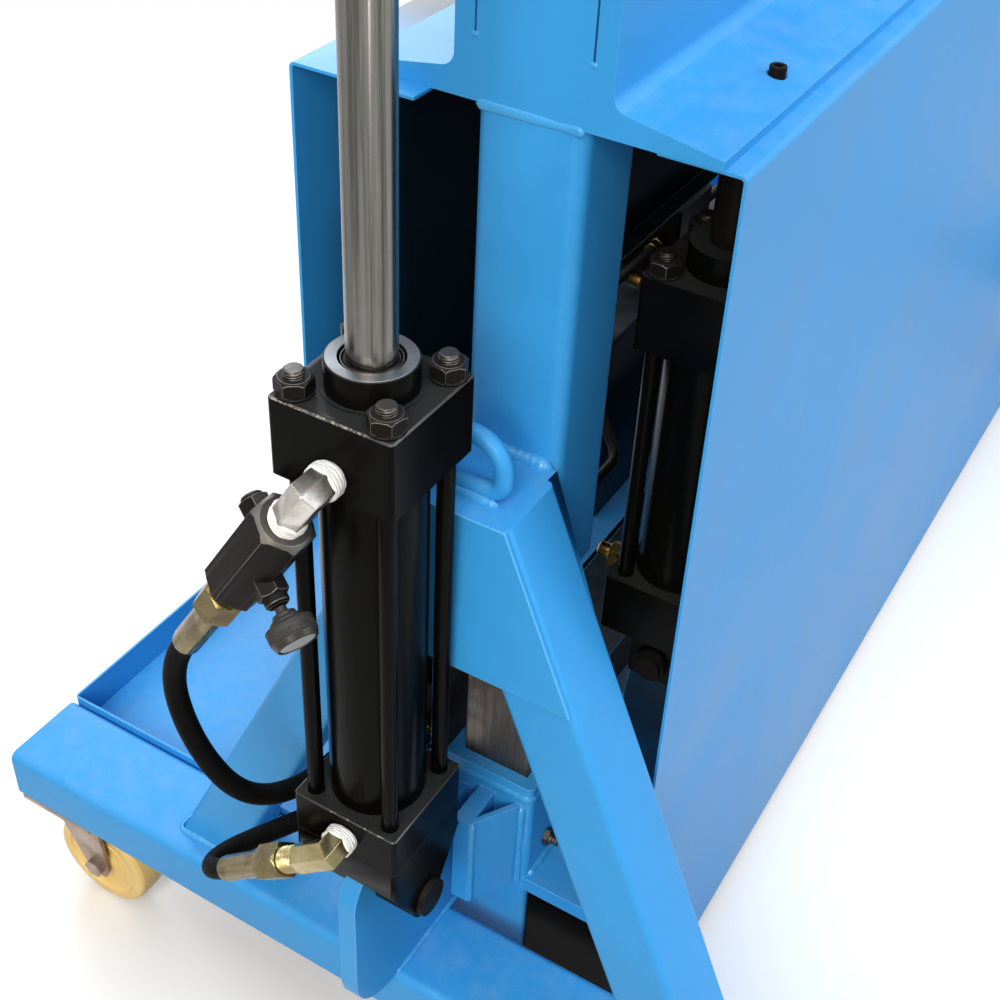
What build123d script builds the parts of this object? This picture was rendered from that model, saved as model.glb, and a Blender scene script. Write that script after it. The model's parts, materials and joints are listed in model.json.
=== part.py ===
"""Hydraulic press brake on castors: welded end frames, bed, ram, cylinders and hydraulics.

Millimetres, +Z up. X runs along the bed, -Y is the operator's side, Z = 0 is the floor.
The left end (-X) and the right end (+X) are mirror images.
"""
import math
import os

from build123d import *

os.makedirs("parts", exist_ok=True)

# Base and castors
castor_height = 126.0
rail_width = 79.0
rail_height = 54.0
rail_length = 840.0
rail_wall = 5.0
rail_radius = 8.0
wheel_radius = 50.0
wheel_width = 32.0
castor_inset = 40.0
castor_trail = 22.0
castor_plate = 5.0
axle_radius = 6.0
kingpin_radius = 6.0
fork_gap = 1.6
fork_wall = 4.0
race_height = 9.0
tie_depth = 80.0

# End frames
bed_half = 650.0
head_length = 71.5
brace_width = 46.0
brace_depth = 50.0
brace_angle = 24.8
brace_wall = 4.0
head_half_top = 38.8
head_height = 120.0
head_rise = 322.0
ring_bar = 12.0
ring_half = 22.0
ring_setback = 27.0
column_side = 68.0
column_wall = 6.0
column_radius = 10.0
column_rise = 336.0

# Bed
bed_rise = 662.0
bed_height = 80.0
bed_width = 95.0
bed_floor = 10.0
flange_width = 222.0
flange_tip = 5.5
flange_taper = 6.0
root_radius = 9.0
web_thickness = 12.0
cross_web_thickness = 12.0
cross_web_pitch = 200.0
top_thickness = 20.0
end_plate_thickness = 5.0
end_plate_slit = 1.4
slit_rise = 20.0

# Lower posts
post_side = 76.0
post_wall = 6.0
post_rise = 136.0
guide_thickness = 12.0
lug_thickness = 14.0
lug_overhang = 40.0
lug_rise = 168.0
gusset_reach = 36.0
gusset_height = 93.0
shelf_thickness = 14.0
shelf_rise = 45.0
shelf_gap = 0.6
shelf_length = 172.0
bracket_half = 36.0

# Guide bars and ram
bar_side = 55.0
bar_clearance = 0.08
bar_bottom_rise = 126.0
ram_gap = 282.0
ram_flange_thickness = 20.0
ram_flange_width = 126.0
ram_web_thickness = 25.0
ram_web_height = 156.0
ram_top_width = 90.0
ram_top_thickness = 14.0
ram_end_cut = 60.0
ram_shoulder = 50.0
ram_rib_inset = 100.0
ram_rib = 14.0
stroke = 120.0

# Tools
die_gap = 13.5
die_width = 60.0
die_height = 50.0
die_step = 8.0
die_foot = 18.0
vee_width = 16.0
vee_angle = 88.0
nose_depth = 6.0
nose_flat = 0.8
punch_tang = 14.0
tang_height = 16.0
punch_shoulder = 15.0
shoulder_height = 12.0
neck_drop = 34.0
holder_height = 30.0
holder_width = 54.0
clamp_rise = 9.0
clamp_flats = 13.0
clamp_head = 6.0
clamp_radius = 4.0

# Working cylinders
rod_reach = 112.5
rod_offset = 23.0
rod_radius = 14.0
block_side = 79.5
cap_rise = 199.0
cap_height = 34.0
clevis_height = 26.0
barrel_length = 263.0
block_height = 51.3
barrel_radius = 31.5
bore_radius = 25.0
gland_radius = 26.0
gland_height = 18.0
piston_height = 30.0
piston_gap = 6.0
running = 0.05
tie_inset = 10.75
tie_radius = 5.5
nut_flats = 18.0
nut_height = 10.0
tie_tip = 5.0
pin_radius = 10.0
pin_drop = 38.0
pin_head = 5.0
ear_half = 17.0
ear_gap = 1.0
tie_blind = 5.0
rod_thread_radius = 12.0
rod_thread_length = 26.0
rod_nut_flats = 36.0
rod_nut_height = 19.0

# Inner bed-support cylinders
inner_reach = 111.5
inner_offset = 82.0
inner_cap_rise = 281.0
inner_cap_height = 27.0
inner_clevis_height = 20.0
inner_barrel_length = 188.0
inner_pin_drop = 26.0
inner_ear = 22.0
inner_piston_drop = 8.0
inner_port_rise = 23.0
inner_port_drop = 14.0
inner_nipple_radius = 6.0
inner_nipple = 5.0
inner_nut_flats = 17.0
inner_nut = 9.0
inner_tail_radius = 5.5
inner_tail = 10.0
notch_clearance = 4.0

# Covers and tray
sheet = 2.0
cover_gap = 1.75
front_cover_drop = 822.0
front_cover_lean = 8.0
front_cover_setback = 2.0
front_lip = 50.0
back_cover_reach = 34.0
back_cover_drop = 322.0
back_cover_overhang = 16.0
back_lip = 83.0
hem_width = 18.0
fold_radius = 4.0
screw_y = 92.0
screw_x = 180.0
screw_radius = 3.0
screw_head_radius = 5.0
screw_head = 7.0
screw_tail = 9.0
seat_sink = 0.5
tray_rim = 3.0
tray_depth = 38.0
tray_gap = 3.0

# Fittings, hoses and pipes
port_drop = 36.0
cap_port_drop = 18.0
elbow_reach = 21.25
lower_elbow_reach = 17.25
nipple_radius = 9.5
elbow_radius = 12.5
chain_angle = 32.0
lower_chain_angle = 48.4
tape_start = 20.0
tape_width = 6.0
valve_start = 26.0
valve_length = 88.0
valve_flats = 30.0
hose_nut_flats = 22.0
hose_nut_length = 21.0
ferrule_length = 49.0
ferrule_radius = 10.5
hose_radius = 7.5
lower_nut_start = 24.0
lower_nut_length = 26.0
lower_ferrule_length = 71.0
end_ferrule = 20.0
inlet_nut = 8.0
upper_end_offset = 60.0
upper_end_rise = 178.0
upper_lead = 36.0
upper_sag_x = 1.0
upper_sag_y = 105.0
upper_sag_rise = 260.0
upper_turn_x = 45.5
upper_turn_y = 80.0
upper_turn_rise = 205.0
upper_run_x = 2.5
upper_run_y = 62.0
upper_run_rise = 184.0
upper_in_x = 62.5
lower_end_offset = 52.0
lower_end_rise = 120.0
lower_lead = 27.0
lower_sag_x = 23.0
lower_sag_y = 116.0
lower_sag_rise = 110.0
lower_turn_x = 5.0
lower_turn_y = 93.0
lower_turn_rise = 112.0
lower_in_x = 66.0
block_x = 60.0
block_y = 64.0
block_z = 110.0
block_rise = 95.0
block_setback = 34.0
pipe_radius = 5.0
pipe_bend = 30.0
pipe_run = 230.0
pipe_slope = 80.0
pipe_spread = 20.0

# Hydraulic unit and control box
tank_x = 380.0
tank_y = 220.0
tank_z = 230.0
tank_left = -150.0
tank_back_gap = 35.0
motor_radius = 60.0
motor_length = 210.0
pump_radius = 42.0
pump_length = 80.0
motor_shift = 60.0
motor_lift = 14.0
foot_x = 150.0
foot_y = 90.0
terminal_x = 90.0
terminal_y = 70.0
terminal_z = 42.0
terminal_sink = 8.0
valve_block = 80.0
valve_body_x = 56.0
valve_body = 44.0
solenoid_radius = 19.0
solenoid_length = 52.0
filler_radius = 22.0
filler_height = 20.0
filler_inset = 45.0
box_x = 160.0
box_y = 80.0
box_z = 200.0
box_inset = 40.0
box_drop = 90.0
box_gap = 0.3
box_wall = 4.0
start_rise = 50.0
stop_rise = 140.0
button_radius = 11.0
button_height = 7.0
stop_radius = 20.0
stop_height = 12.0
stem_share = 0.7
stem_gap = 0.3
button_travel = 3.0
button_gap = 0.5

# Heights and planes that follow from the sizes above
rail_top = castor_height + rail_height
bed_z = rail_top + bed_rise
flange_root = flange_tip + (flange_width - bed_width) / 2 / flange_taper
flange_top = bed_z + flange_root
web_top = bed_z + bed_height
bed_top = web_top + top_thickness
head_bottom = rail_top + head_rise
head_top = head_bottom + head_height
brace_outer = bed_half + head_length
brace_inner = brace_outer - brace_width
rail_inner = brace_inner
rail_x = rail_inner + rail_width / 2
column_x = bed_half - column_side / 2
rod_x = bed_half + rod_reach
inner_x = bed_half - inner_reach
post_top = rail_top + post_rise
guide_top = post_top + guide_thickness
ram_z = bed_top + ram_gap
clevis_top = rail_top + cap_rise
clevis_bottom = clevis_top - clevis_height
cap_top = clevis_top + cap_height
block_bottom = cap_top + barrel_length
block_top = block_bottom + block_height
gland_top = block_top + gland_height
pin_z = clevis_bottom - pin_drop
inner_clevis_top = rail_top + inner_cap_rise
inner_clevis_bottom = inner_clevis_top - inner_clevis_height
inner_cap_top = inner_clevis_top + inner_cap_height
inner_block_bottom = inner_cap_top + inner_barrel_length
inner_block_top = inner_block_bottom + block_height
inner_pin_z = inner_clevis_bottom - inner_pin_drop
tie_pitch = block_side - 2 * tie_inset
slope = math.tan(math.radians(brace_angle))
brace_run = brace_depth / math.cos(math.radians(brace_angle))
head_half_bottom = head_half_top + slope * head_height
foot_half = head_half_top + slope * (head_top - rail_top)
front_cover_y = inner_offset + block_side / 2 + cover_gap
back_cover_y = flange_width / 2 + back_cover_reach
die_length = 2 * (column_x - bar_side / 2 - die_gap)
ends = (-1, 1)


def cover_face(z):
    """Distance of the front cover's outer face from the middle plane at a height."""
    return front_cover_y + front_cover_lean * (bed_z - z) / front_cover_drop


def save(builder, name):
    """Label a finished piece and write it to its own file."""
    builder.part.label = name
    export_step(builder.part, f"parts/{name}.step")


def slab(x, y, z, size_x, size_y, size_z, mode=Mode.ADD):
    """Box with its centre at x, y and its underside at z."""
    with Locations((x, y, z + size_z / 2)):
        Box(size_x, size_y, size_z, mode=mode)


def post(x, y, z, radius, height, mode=Mode.ADD):
    """Upright cylinder standing at x, y from z upward."""
    with Locations((x, y, z + height / 2)):
        Cylinder(radius, height, mode=mode)


def hexagon(plane, flats, start, length, mode=Mode.ADD):
    """Hexagonal bar along the plane's normal, from start to start + length."""
    with BuildSketch(plane.offset(start)) as outline:
        RegularPolygon(flats / 2, 6, major_radius=False)
    extrude(outline.sketch, amount=length, mode=mode)


def disc(plane, radius, start, length, mode=Mode.ADD):
    """Round bar along the plane's normal, from start to start + length."""
    with BuildSketch(plane.offset(start)) as outline:
        Circle(radius)
    extrude(outline.sketch, amount=length, mode=mode)


def end_plane(side, x):
    """Vertical plane across the bed, x along +Y and y along +Z, facing outward."""
    return Plane(origin=(side * x, 0, 0), x_dir=(0, side, 0), z_dir=(side, 0, 0))


# Base rails: two rectangular tubes across the machine, closed at both ends
with BuildPart() as base_rails:
    for side in ends:
        slab(side * rail_x, 0, castor_height, rail_width, rail_length, rail_height)
    fillet(base_rails.edges().filter_by(Axis.Y), rail_radius)
    for side in ends:
        for half in ends:
            slab(side * rail_x, half * rail_length / 4, castor_height + rail_wall, rail_width - 2 * rail_wall,
                 rail_length / 2 - 2 * rail_wall, rail_height - 2 * rail_wall, Mode.SUBTRACT)
save(base_rails, "base_rails")

# Tie beam between the rails, behind the posts
tie_y = post_side / 2 + tie_depth / 2
with BuildPart() as tie_beam:
    slab(0, tie_y, castor_height, 2 * rail_inner, tie_depth, rail_height)
    slab(0, tie_y, castor_height + rail_wall, 2 * rail_inner, tie_depth - 2 * rail_wall,
         rail_height - 2 * rail_wall, Mode.SUBTRACT)
save(tie_beam, "tie_beam")


def build_a_frame(side, name):
    """Welded A-frame: two hollow braces, a solid apex head and a lifting ring."""
    with BuildPart() as frame:
        with BuildSketch(Plane.YZ.offset(side * brace_inner)):
            with BuildLine():
                Polyline((head_half_top, head_top), (foot_half, rail_top), (foot_half - brace_run, rail_top),
                         (head_half_bottom - brace_run, head_bottom),
                         (brace_run - head_half_bottom, head_bottom),
                         (brace_run - foot_half, rail_top), (-foot_half, rail_top),
                         (-head_half_top, head_top), close=True)
            make_face()
        extrude(amount=side * brace_width)
        long_edges = frame.edges().filter_by(lambda e: e.length > head_height * 1.2)
        fillet(long_edges, 5)
        with BuildSketch(Plane.YZ.offset(side * bed_half)):
            with BuildLine():
                Polyline((head_half_top, head_top), (head_half_bottom, head_bottom),
                         (-head_half_bottom, head_bottom), (-head_half_top, head_top), close=True)
            make_face()
        extrude(amount=side * (head_length - brace_width))
        wall = brace_wall / math.cos(math.radians(brace_angle))
        hollow_top = head_bottom - brace_wall
        rise = slope * (hollow_top - rail_top)
        for half in ends:
            with BuildSketch(Plane.YZ.offset(side * (brace_inner + brace_wall))):
                with BuildLine():
                    Polyline((half * (foot_half - wall), rail_top),
                             (half * (foot_half - wall - rise), hollow_top),
                             (half * (foot_half - brace_run + wall - rise), hollow_top),
                             (half * (foot_half - brace_run + wall), rail_top), close=True)
                make_face()
            extrude(amount=side * (brace_width - 2 * brace_wall), mode=Mode.SUBTRACT)
        ring_plane = end_plane(1, side * (brace_outer - ring_setback))
        low = head_top + ring_bar / 2 - 1
        high = low + 15
        with BuildLine(ring_plane) as ring_path:
            floor = Line((-ring_half + 10, low), (ring_half - 10, low))
            right_bend = TangentArc(floor @ 1, (ring_half, low + 10), tangent=floor % 1)
            right_leg = Line(right_bend @ 1, (ring_half, high))
            crown = ThreePointArc(right_leg @ 1, (0, high + ring_half), (-ring_half, high))
            left_leg = Line(crown @ 1, (-ring_half, low + 10))
            TangentArc(left_leg @ 1, floor @ 0, tangent=left_leg % 1)
        with BuildSketch(Plane(origin=ring_path.line @ 0, z_dir=ring_path.line % 0)):
            Circle(ring_bar / 2)
        sweep(path=ring_path.line)
    save(frame, name)


build_a_frame(-1, "left_a_frame")
build_a_frame(1, "right_a_frame")

# Columns: square tubes from the A-frame heads up to the bed flange
column_bottom = rail_top + column_rise
with BuildPart() as columns:
    for side in ends:
        slab(side * column_x, 0, column_bottom, column_side, column_side, bed_z - column_bottom)
    fillet(columns.edges().filter_by(Axis.Z), column_radius)
    for side in ends:
        slab(side * column_x, 0, column_bottom, column_side - 2 * column_wall, column_side - 2 * column_wall,
             bed_z - column_bottom, Mode.SUBTRACT)
save(columns, "columns")

# Lower posts with cylinder lug, V gusset, shelf and the bracket of the inner cylinder
shelf_top = rail_top + shelf_rise
post_outer = column_x + post_side / 2
lug_top = rail_top + lug_rise


def build_anchor(side, name):
    """Lower post that carries one working cylinder and one inner cylinder."""
    with BuildPart() as anchor:
        slab(side * column_x, 0, castor_height, post_side, post_side, post_top - castor_height)
        fillet(anchor.edges().filter_by(Axis.Z), 6)
        slab(side * column_x, 0, castor_height, post_side - 2 * post_wall, post_side - 2 * post_wall,
             post_top - castor_height, Mode.SUBTRACT)
        lug_outer = rod_x + lug_overhang
        rail_outer = rail_x + rail_width / 2
        foot_radius = lug_outer - rail_outer
        with BuildSketch(Plane.XZ.offset(-rod_offset - lug_thickness / 2)):
            with BuildLine():
                Line((side * (post_outer - 3), rail_top), (side * rail_outer, rail_top))
                ThreePointArc((side * rail_outer, rail_top),
                              (side * (rail_outer + foot_radius * math.sqrt(0.5)),
                               rail_top + foot_radius * (1 - math.sqrt(0.5))),
                              (side * lug_outer, rail_top + foot_radius))
                Polyline((side * lug_outer, rail_top + foot_radius), (side * lug_outer, lug_top - 22),
                         (side * (lug_outer - 22), lug_top), (side * (rod_x - lug_overhang + 22), lug_top),
                         (side * (rod_x - lug_overhang), lug_top - 22),
                         (side * (post_outer - 3), lug_top - 48), (side * (post_outer - 3), rail_top))
            make_face()
            with Locations((side * rod_x, pin_z)):
                Circle(pin_radius + running, mode=Mode.SUBTRACT)
        extrude(amount=lug_thickness)
        gusset_low = guide_top - 20 - gusset_height
        slab(side * (post_outer + gusset_reach / 2 - 1.5), 0, gusset_low, gusset_reach + 3, lug_thickness,
             gusset_height)
        with BuildSketch(Plane.XY.offset(gusset_low)):
            with BuildLine():
                Polyline((side * (post_outer + gusset_reach), -lug_thickness / 2),
                         (side * (post_outer - 3), -post_side / 2 + 6),
                         (side * (post_outer - 3), -post_side / 2 + 12),
                         (side * (post_outer + gusset_reach - 8), -lug_thickness / 2), close=True)
            make_face()
        extrude(amount=gusset_height)
        shelf_x = post_outer - shelf_length / 2
        shelf_back = post_side / 2 - 3
        shelf_depth = cover_face(shelf_top) - sheet - shelf_gap - shelf_back
        shelf_y = -shelf_back - shelf_depth / 2
        slab(side * shelf_x, shelf_y, shelf_top - shelf_thickness, shelf_length, shelf_depth, shelf_thickness)
        slab(side * (column_x + 20), shelf_y + 10, castor_height + 20, shelf_thickness, shelf_depth - 20,
             shelf_top - shelf_thickness - castor_height - 20)
        with BuildSketch(Plane.YZ.offset(side * inner_x - lug_thickness / 2)):
            with BuildLine():
                Polyline((-inner_offset - bracket_half, shelf_top), (bracket_half - inner_offset, shelf_top),
                         (-inner_offset + 20, inner_pin_z + 18), (-inner_offset - 20, inner_pin_z + 18),
                         close=True)
            make_face()
            with Locations((-inner_offset, inner_pin_z)):
                Circle(pin_radius + running, mode=Mode.SUBTRACT)
        extrude(amount=lug_thickness)
    save(anchor, name)


build_anchor(-1, "left_anchor")
build_anchor(1, "right_anchor")

# Bed: two rolled sections with sloping flanges, closed by a slit plate at each end
bar_hole = bar_side + 2
web_inner = bed_width / 2 - web_thickness
screw_places = [(side * x, half * screw_y, half) for half in ends for side in ends for x in (inner_x, screw_x)]
screw_hole = screw_radius + 0.3
spot_radius = screw_head_radius + 1
seat_z = bed_z + flange_tip + (flange_width / 2 - screw_y - spot_radius) / flange_taper - seat_sink
with BuildPart() as bed_flange:
    with BuildSketch(Plane.YZ.offset(-bed_half)):
        with BuildLine():
            Polyline((-flange_width / 2, bed_z), (flange_width / 2, bed_z),
                     (flange_width / 2, bed_z + flange_tip), (bed_width / 2, flange_top),
                     (bed_width / 2, web_top), (web_inner, web_top), (web_inner, bed_z + bed_floor),
                     (-web_inner, bed_z + bed_floor), (-web_inner, web_top), (-bed_width / 2, web_top),
                     (-bed_width / 2, flange_top), (-flange_width / 2, bed_z + flange_tip), close=True)
        make_face()
    extrude(amount=2 * bed_half)
    roots = bed_flange.edges().filter_by(Axis.X).filter_by(
        lambda e: abs(abs(e.center().Y) - bed_width / 2) < 0.1 and abs(e.center().Z - flange_top) < 0.1)
    fillet(roots, root_radius)
    for side in ends:
        slab(side * (bed_half - end_plate_thickness / 2), 0, bed_z + bed_floor, end_plate_thickness,
             2 * web_inner, bed_height - bed_floor)
        slab(side * column_x, 0, bed_z, bar_hole, bar_hole, bed_floor, Mode.SUBTRACT)
        for half in ends:
            slab(side * bed_half, half * (web_inner - end_plate_slit / 2), flange_top + slit_rise,
                 3 * end_plate_thickness, end_plate_slit, bed_height, Mode.SUBTRACT)
    for x, y, half in screw_places:
        post(x, y, bed_z, screw_hole, flange_root, Mode.SUBTRACT)
        post(x, y, seat_z, spot_radius, flange_root, Mode.SUBTRACT)
save(bed_flange, "bed_flange")

with BuildPart() as bed_webs:
    for i in range(-2, 3):
        slab(i * cross_web_pitch, 0, bed_z + bed_floor, cross_web_thickness, 2 * web_inner,
             bed_height - bed_floor)
save(bed_webs, "bed_webs")

with BuildPart() as bed_top_plate:
    slab(0, 0, web_top, 2 * bed_half, bed_width, top_thickness)
    fillet(bed_top_plate.edges().filter_by(Axis.X).group_by(Axis.Z)[-1], 2)
    for side in ends:
        slab(side * column_x, 0, web_top, bar_hole, bar_hole, top_thickness, Mode.SUBTRACT)
save(bed_top_plate, "bed_top_plate")

# Bar guides: bronze-lined plates on the bed top and on the lower posts
guide_hole = bar_side + 2 * bar_clearance
with BuildPart() as bar_guides:
    for side in ends:
        slab(side * column_x, 0, bed_top, column_side - 2, bed_width - 3, guide_thickness + 6)
        slab(side * column_x, 0, post_top, post_side, post_side, guide_thickness)
    fillet(bar_guides.edges().filter_by(Axis.Z), 5)
    for side in ends:
        slab(side * column_x, 0, bed_top, guide_hole, guide_hole, guide_thickness + 6, Mode.SUBTRACT)
        slab(side * column_x, 0, post_top, guide_hole, guide_hole, guide_thickness, Mode.SUBTRACT)
save(bar_guides, "bar_guides")

# Die with a vee groove along its top
vee_depth = (vee_width / 2 - 1) / math.tan(math.radians(vee_angle / 2))
die_top = bed_top + die_height
die_neck = die_width / 2 - die_step
with BuildPart() as die:
    with BuildSketch(Plane.YZ.offset(-die_length / 2)):
        with BuildLine():
            Polyline((-die_width / 2, bed_top), (die_width / 2, bed_top), (die_width / 2, bed_top + die_foot),
                     (die_neck, bed_top + die_foot + 4), (die_neck, die_top), (vee_width / 2, die_top),
                     (1, die_top - vee_depth), (1, die_top - vee_depth - 4), (-1, die_top - vee_depth - 4),
                     (-1, die_top - vee_depth), (-vee_width / 2, die_top), (-die_neck, die_top),
                     (-die_neck, bed_top + die_foot + 4), (-die_width / 2, bed_top + die_foot), close=True)
        make_face()
    extrude(amount=die_length)
save(die, "die")

# Ram: flanged beam with sloping ends and ribs
ram_half = rod_x + 45
ram_web_half = bed_half + 50
ram_flange_top = ram_z + ram_flange_thickness
ram_top_half = bed_half - ram_end_cut
ram_web_top = ram_flange_top + ram_web_height
with BuildPart() as ram_beam:
    slab(0, 0, ram_z, 2 * ram_half, ram_flange_width, ram_flange_thickness)
    fillet(ram_beam.edges().filter_by(Axis.Z), 12)
    with BuildSketch(Plane.XZ.offset(-ram_web_thickness / 2)):
        with BuildLine():
            Polyline((-ram_web_half, ram_flange_top), (ram_web_half, ram_flange_top),
                     (ram_web_half, ram_flange_top + ram_shoulder), (ram_top_half, ram_web_top),
                     (-ram_top_half, ram_web_top), (-ram_web_half, ram_flange_top + ram_shoulder),
                     close=True)
        make_face()
    extrude(amount=ram_web_thickness)
    slab(0, 0, ram_web_top, 2 * ram_top_half, ram_top_width, ram_top_thickness)
    rib_depth = (ram_top_width - ram_web_thickness) / 2
    for x in (ram_rib_inset - bed_half, 0, bed_half - ram_rib_inset):
        for half in ends:
            slab(x, half * (ram_web_thickness + rib_depth) / 2, ram_flange_top, ram_rib, rib_depth,
                 ram_web_height)
    for side in ends:
        post(side * rod_x, rod_offset, ram_z, rod_thread_radius + running, ram_flange_thickness,
             Mode.SUBTRACT)
save(ram_beam, "ram_beam")

# Guide bars hang under the ram
bar_bottom = rail_top + bar_bottom_rise
with BuildPart() as guide_bars:
    for side in ends:
        slab(side * column_x, 0, bar_bottom, bar_side, bar_side, ram_z - bar_bottom)
    chamfer(guide_bars.edges().filter_by(Axis.Z), 1.5)
save(guide_bars, "guide_bars")

# Punch holder, punch and clamp screws
holder_z = ram_z - holder_height
tip_z = die_top + stroke - nose_depth
with BuildPart() as punch_holder:
    slab(0, 0, holder_z, die_length, holder_width, holder_height)
    slab(0, 0, holder_z, die_length, punch_tang + 0.2, tang_height, Mode.SUBTRACT)
    with GridLocations(die_length / 8, 0, 8, 1):
        with Locations(Location((0, -holder_width / 2, holder_z + clamp_rise), (90, 0, 0))):
            Cylinder(clamp_radius + 0.2, holder_width - punch_tang, mode=Mode.SUBTRACT)
save(punch_holder, "punch_holder")

with BuildPart() as punch:
    blade = punch_tang / 2
    nose_rise = (blade - nose_flat) / math.tan(math.radians(vee_angle / 2 - 1))
    with BuildSketch(Plane.YZ.offset(-die_length / 2)):
        with BuildLine():
            Polyline((-blade, holder_z + tang_height), (blade, holder_z + tang_height), (blade, holder_z),
                     (punch_shoulder, holder_z), (punch_shoulder, holder_z - shoulder_height),
                     (blade, holder_z - neck_drop), (blade, tip_z + nose_rise), (nose_flat, tip_z),
                     (-nose_flat, tip_z), (-blade, tip_z + nose_rise), (-blade, holder_z - neck_drop),
                     (-punch_shoulder, holder_z - shoulder_height), (-punch_shoulder, holder_z),
                     (-blade, holder_z), close=True)
        make_face()
    extrude(amount=die_length)
save(punch, "punch")

with BuildPart() as clamp_screws:
    for i in range(8):
        x = (i - 3.5) * die_length / 8
        front = Plane(origin=(x, -holder_width / 2, holder_z + clamp_rise), x_dir=(1, 0, 0), z_dir=(0, -1, 0))
        shank = (holder_width - punch_tang) / 2 - 0.3
        hexagon(front, clamp_flats, 0, clamp_head)
        disc(front, clamp_radius, -shank, shank)
save(clamp_screws, "clamp_screws")

# Working cylinders
half_block = block_side / 2
with BuildPart() as cylinder_heads:
    for side in ends:
        slab(side * rod_x, rod_offset, block_bottom, block_side, block_side, block_height)
    fillet(cylinder_heads.edges().filter_by(Axis.Z), 3)
    chamfer(cylinder_heads.faces().filter_by(Axis.Z).edges(), 1)
    for side in ends:
        post(side * rod_x, rod_offset, block_bottom, rod_radius + 1, block_height, Mode.SUBTRACT)
        for dx in ends:
            for dy in ends:
                post(side * rod_x + dx * tie_pitch / 2, rod_offset + dy * tie_pitch / 2, block_bottom,
                     tie_radius + 0.4, block_height, Mode.SUBTRACT)
save(cylinder_heads, "cylinder_heads")

with BuildPart() as rod_glands:
    for side in ends:
        post(side * rod_x, rod_offset, block_top, gland_radius, gland_height)
    chamfer(rod_glands.faces().sort_by(Axis.Z)[-2:].edges(), 1.5)
    for side in ends:
        post(side * rod_x, rod_offset, block_top, rod_radius + running, gland_height, Mode.SUBTRACT)
        post(side * rod_x, rod_offset, gland_top - 3, rod_radius + 4, 3, Mode.SUBTRACT)
save(rod_glands, "rod_glands")

with BuildPart() as cylinder_barrels:
    for side in ends:
        post(side * rod_x, rod_offset, cap_top, barrel_radius, barrel_length)
        post(side * rod_x, rod_offset, cap_top, bore_radius, barrel_length, Mode.SUBTRACT)
        post(side * inner_x, -inner_offset, inner_cap_top, barrel_radius, inner_barrel_length)
        post(side * inner_x, -inner_offset, inner_cap_top, bore_radius, inner_barrel_length, Mode.SUBTRACT)
save(cylinder_barrels, "cylinder_barrels")

with BuildPart() as cylinder_caps:
    for side in ends:
        slab(side * rod_x, rod_offset, clevis_top, block_side, block_side, cap_height)
    fillet(cylinder_caps.edges().filter_by(Axis.Z), 3)
    chamfer(cylinder_caps.faces().filter_by(Axis.Z).edges(), 0.8)
    for side in ends:
        for dx in ends:
            for dy in ends:
                post(side * rod_x + dx * tie_pitch / 2, rod_offset + dy * tie_pitch / 2, clevis_top,
                     tie_radius + 0.4, cap_height, Mode.SUBTRACT)
save(cylinder_caps, "cylinder_caps")

tie_low = clevis_bottom + tie_blind
ear_inner = lug_thickness / 2 + ear_gap
ear_thickness = half_block - ear_inner
with BuildPart() as rear_clevises:
    for side in ends:
        slab(side * rod_x, rod_offset, clevis_bottom, block_side, block_side, clevis_height)
    fillet(rear_clevises.edges().filter_by(Axis.Z), 3)
    for side in ends:
        for half in ends:
            face = rod_offset - half_block if half < 0 else rod_offset + ear_inner
            with BuildSketch(Plane(origin=(side * rod_x, face, 0), x_dir=(-1, 0, 0), z_dir=(0, 1, 0))) as ear:
                with BuildLine():
                    Polyline((-half_block, clevis_bottom), (half_block, clevis_bottom), (ear_half, pin_z),
                             (-ear_half, pin_z), close=True)
                make_face()
                with Locations((0, pin_z)):
                    Circle(ear_half)
            extrude(ear.sketch, amount=ear_thickness)
        with Locations(Location((side * rod_x, rod_offset, pin_z), (90, 0, 0))):
            Cylinder(pin_radius + running, block_side, mode=Mode.SUBTRACT)
        for dx in ends:
            for dy in ends:
                post(side * rod_x + dx * tie_pitch / 2, rod_offset + dy * tie_pitch / 2, tie_low,
                     tie_radius, clevis_top - tie_low, Mode.SUBTRACT)
save(rear_clevises, "rear_clevises")

tie_high = block_top + nut_height + tie_tip
with BuildPart() as tie_rods:
    for side in ends:
        for dx in ends:
            for dy in ends:
                post(side * rod_x + dx * tie_pitch / 2, rod_offset + dy * tie_pitch / 2, tie_low, tie_radius,
                     tie_high - tie_low)
                post(side * inner_x + dx * tie_pitch / 2, -inner_offset + dy * tie_pitch / 2,
                     inner_clevis_bottom, tie_radius, inner_block_top + nut_height + tie_tip
                     - inner_clevis_bottom)
    chamfer(tie_rods.faces().filter_by(Axis.Z).edges(), 1)
save(tie_rods, "tie_rods")

with BuildPart() as tie_rod_nuts:
    for side in ends:
        for dx in ends:
            for dy in ends:
                spot = (side * rod_x + dx * tie_pitch / 2, rod_offset + dy * tie_pitch / 2, 0)
                upright = Plane(origin=spot, x_dir=(1, 0.4, 0), z_dir=(0, 0, 1))
                hexagon(upright, nut_flats, block_top, nut_height)
                disc(upright, tie_radius, block_top, nut_height, Mode.SUBTRACT)
                spot = (side * inner_x + dx * tie_pitch / 2, -inner_offset + dy * tie_pitch / 2, 0)
                upright = Plane(origin=spot, x_dir=(1, 0.2, 0), z_dir=(0, 0, 1))
                hexagon(upright, nut_flats, inner_block_top, nut_height)
                disc(upright, tie_radius, inner_block_top, nut_height, Mode.SUBTRACT)
save(tie_rod_nuts, "tie_rod_nuts")

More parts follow.
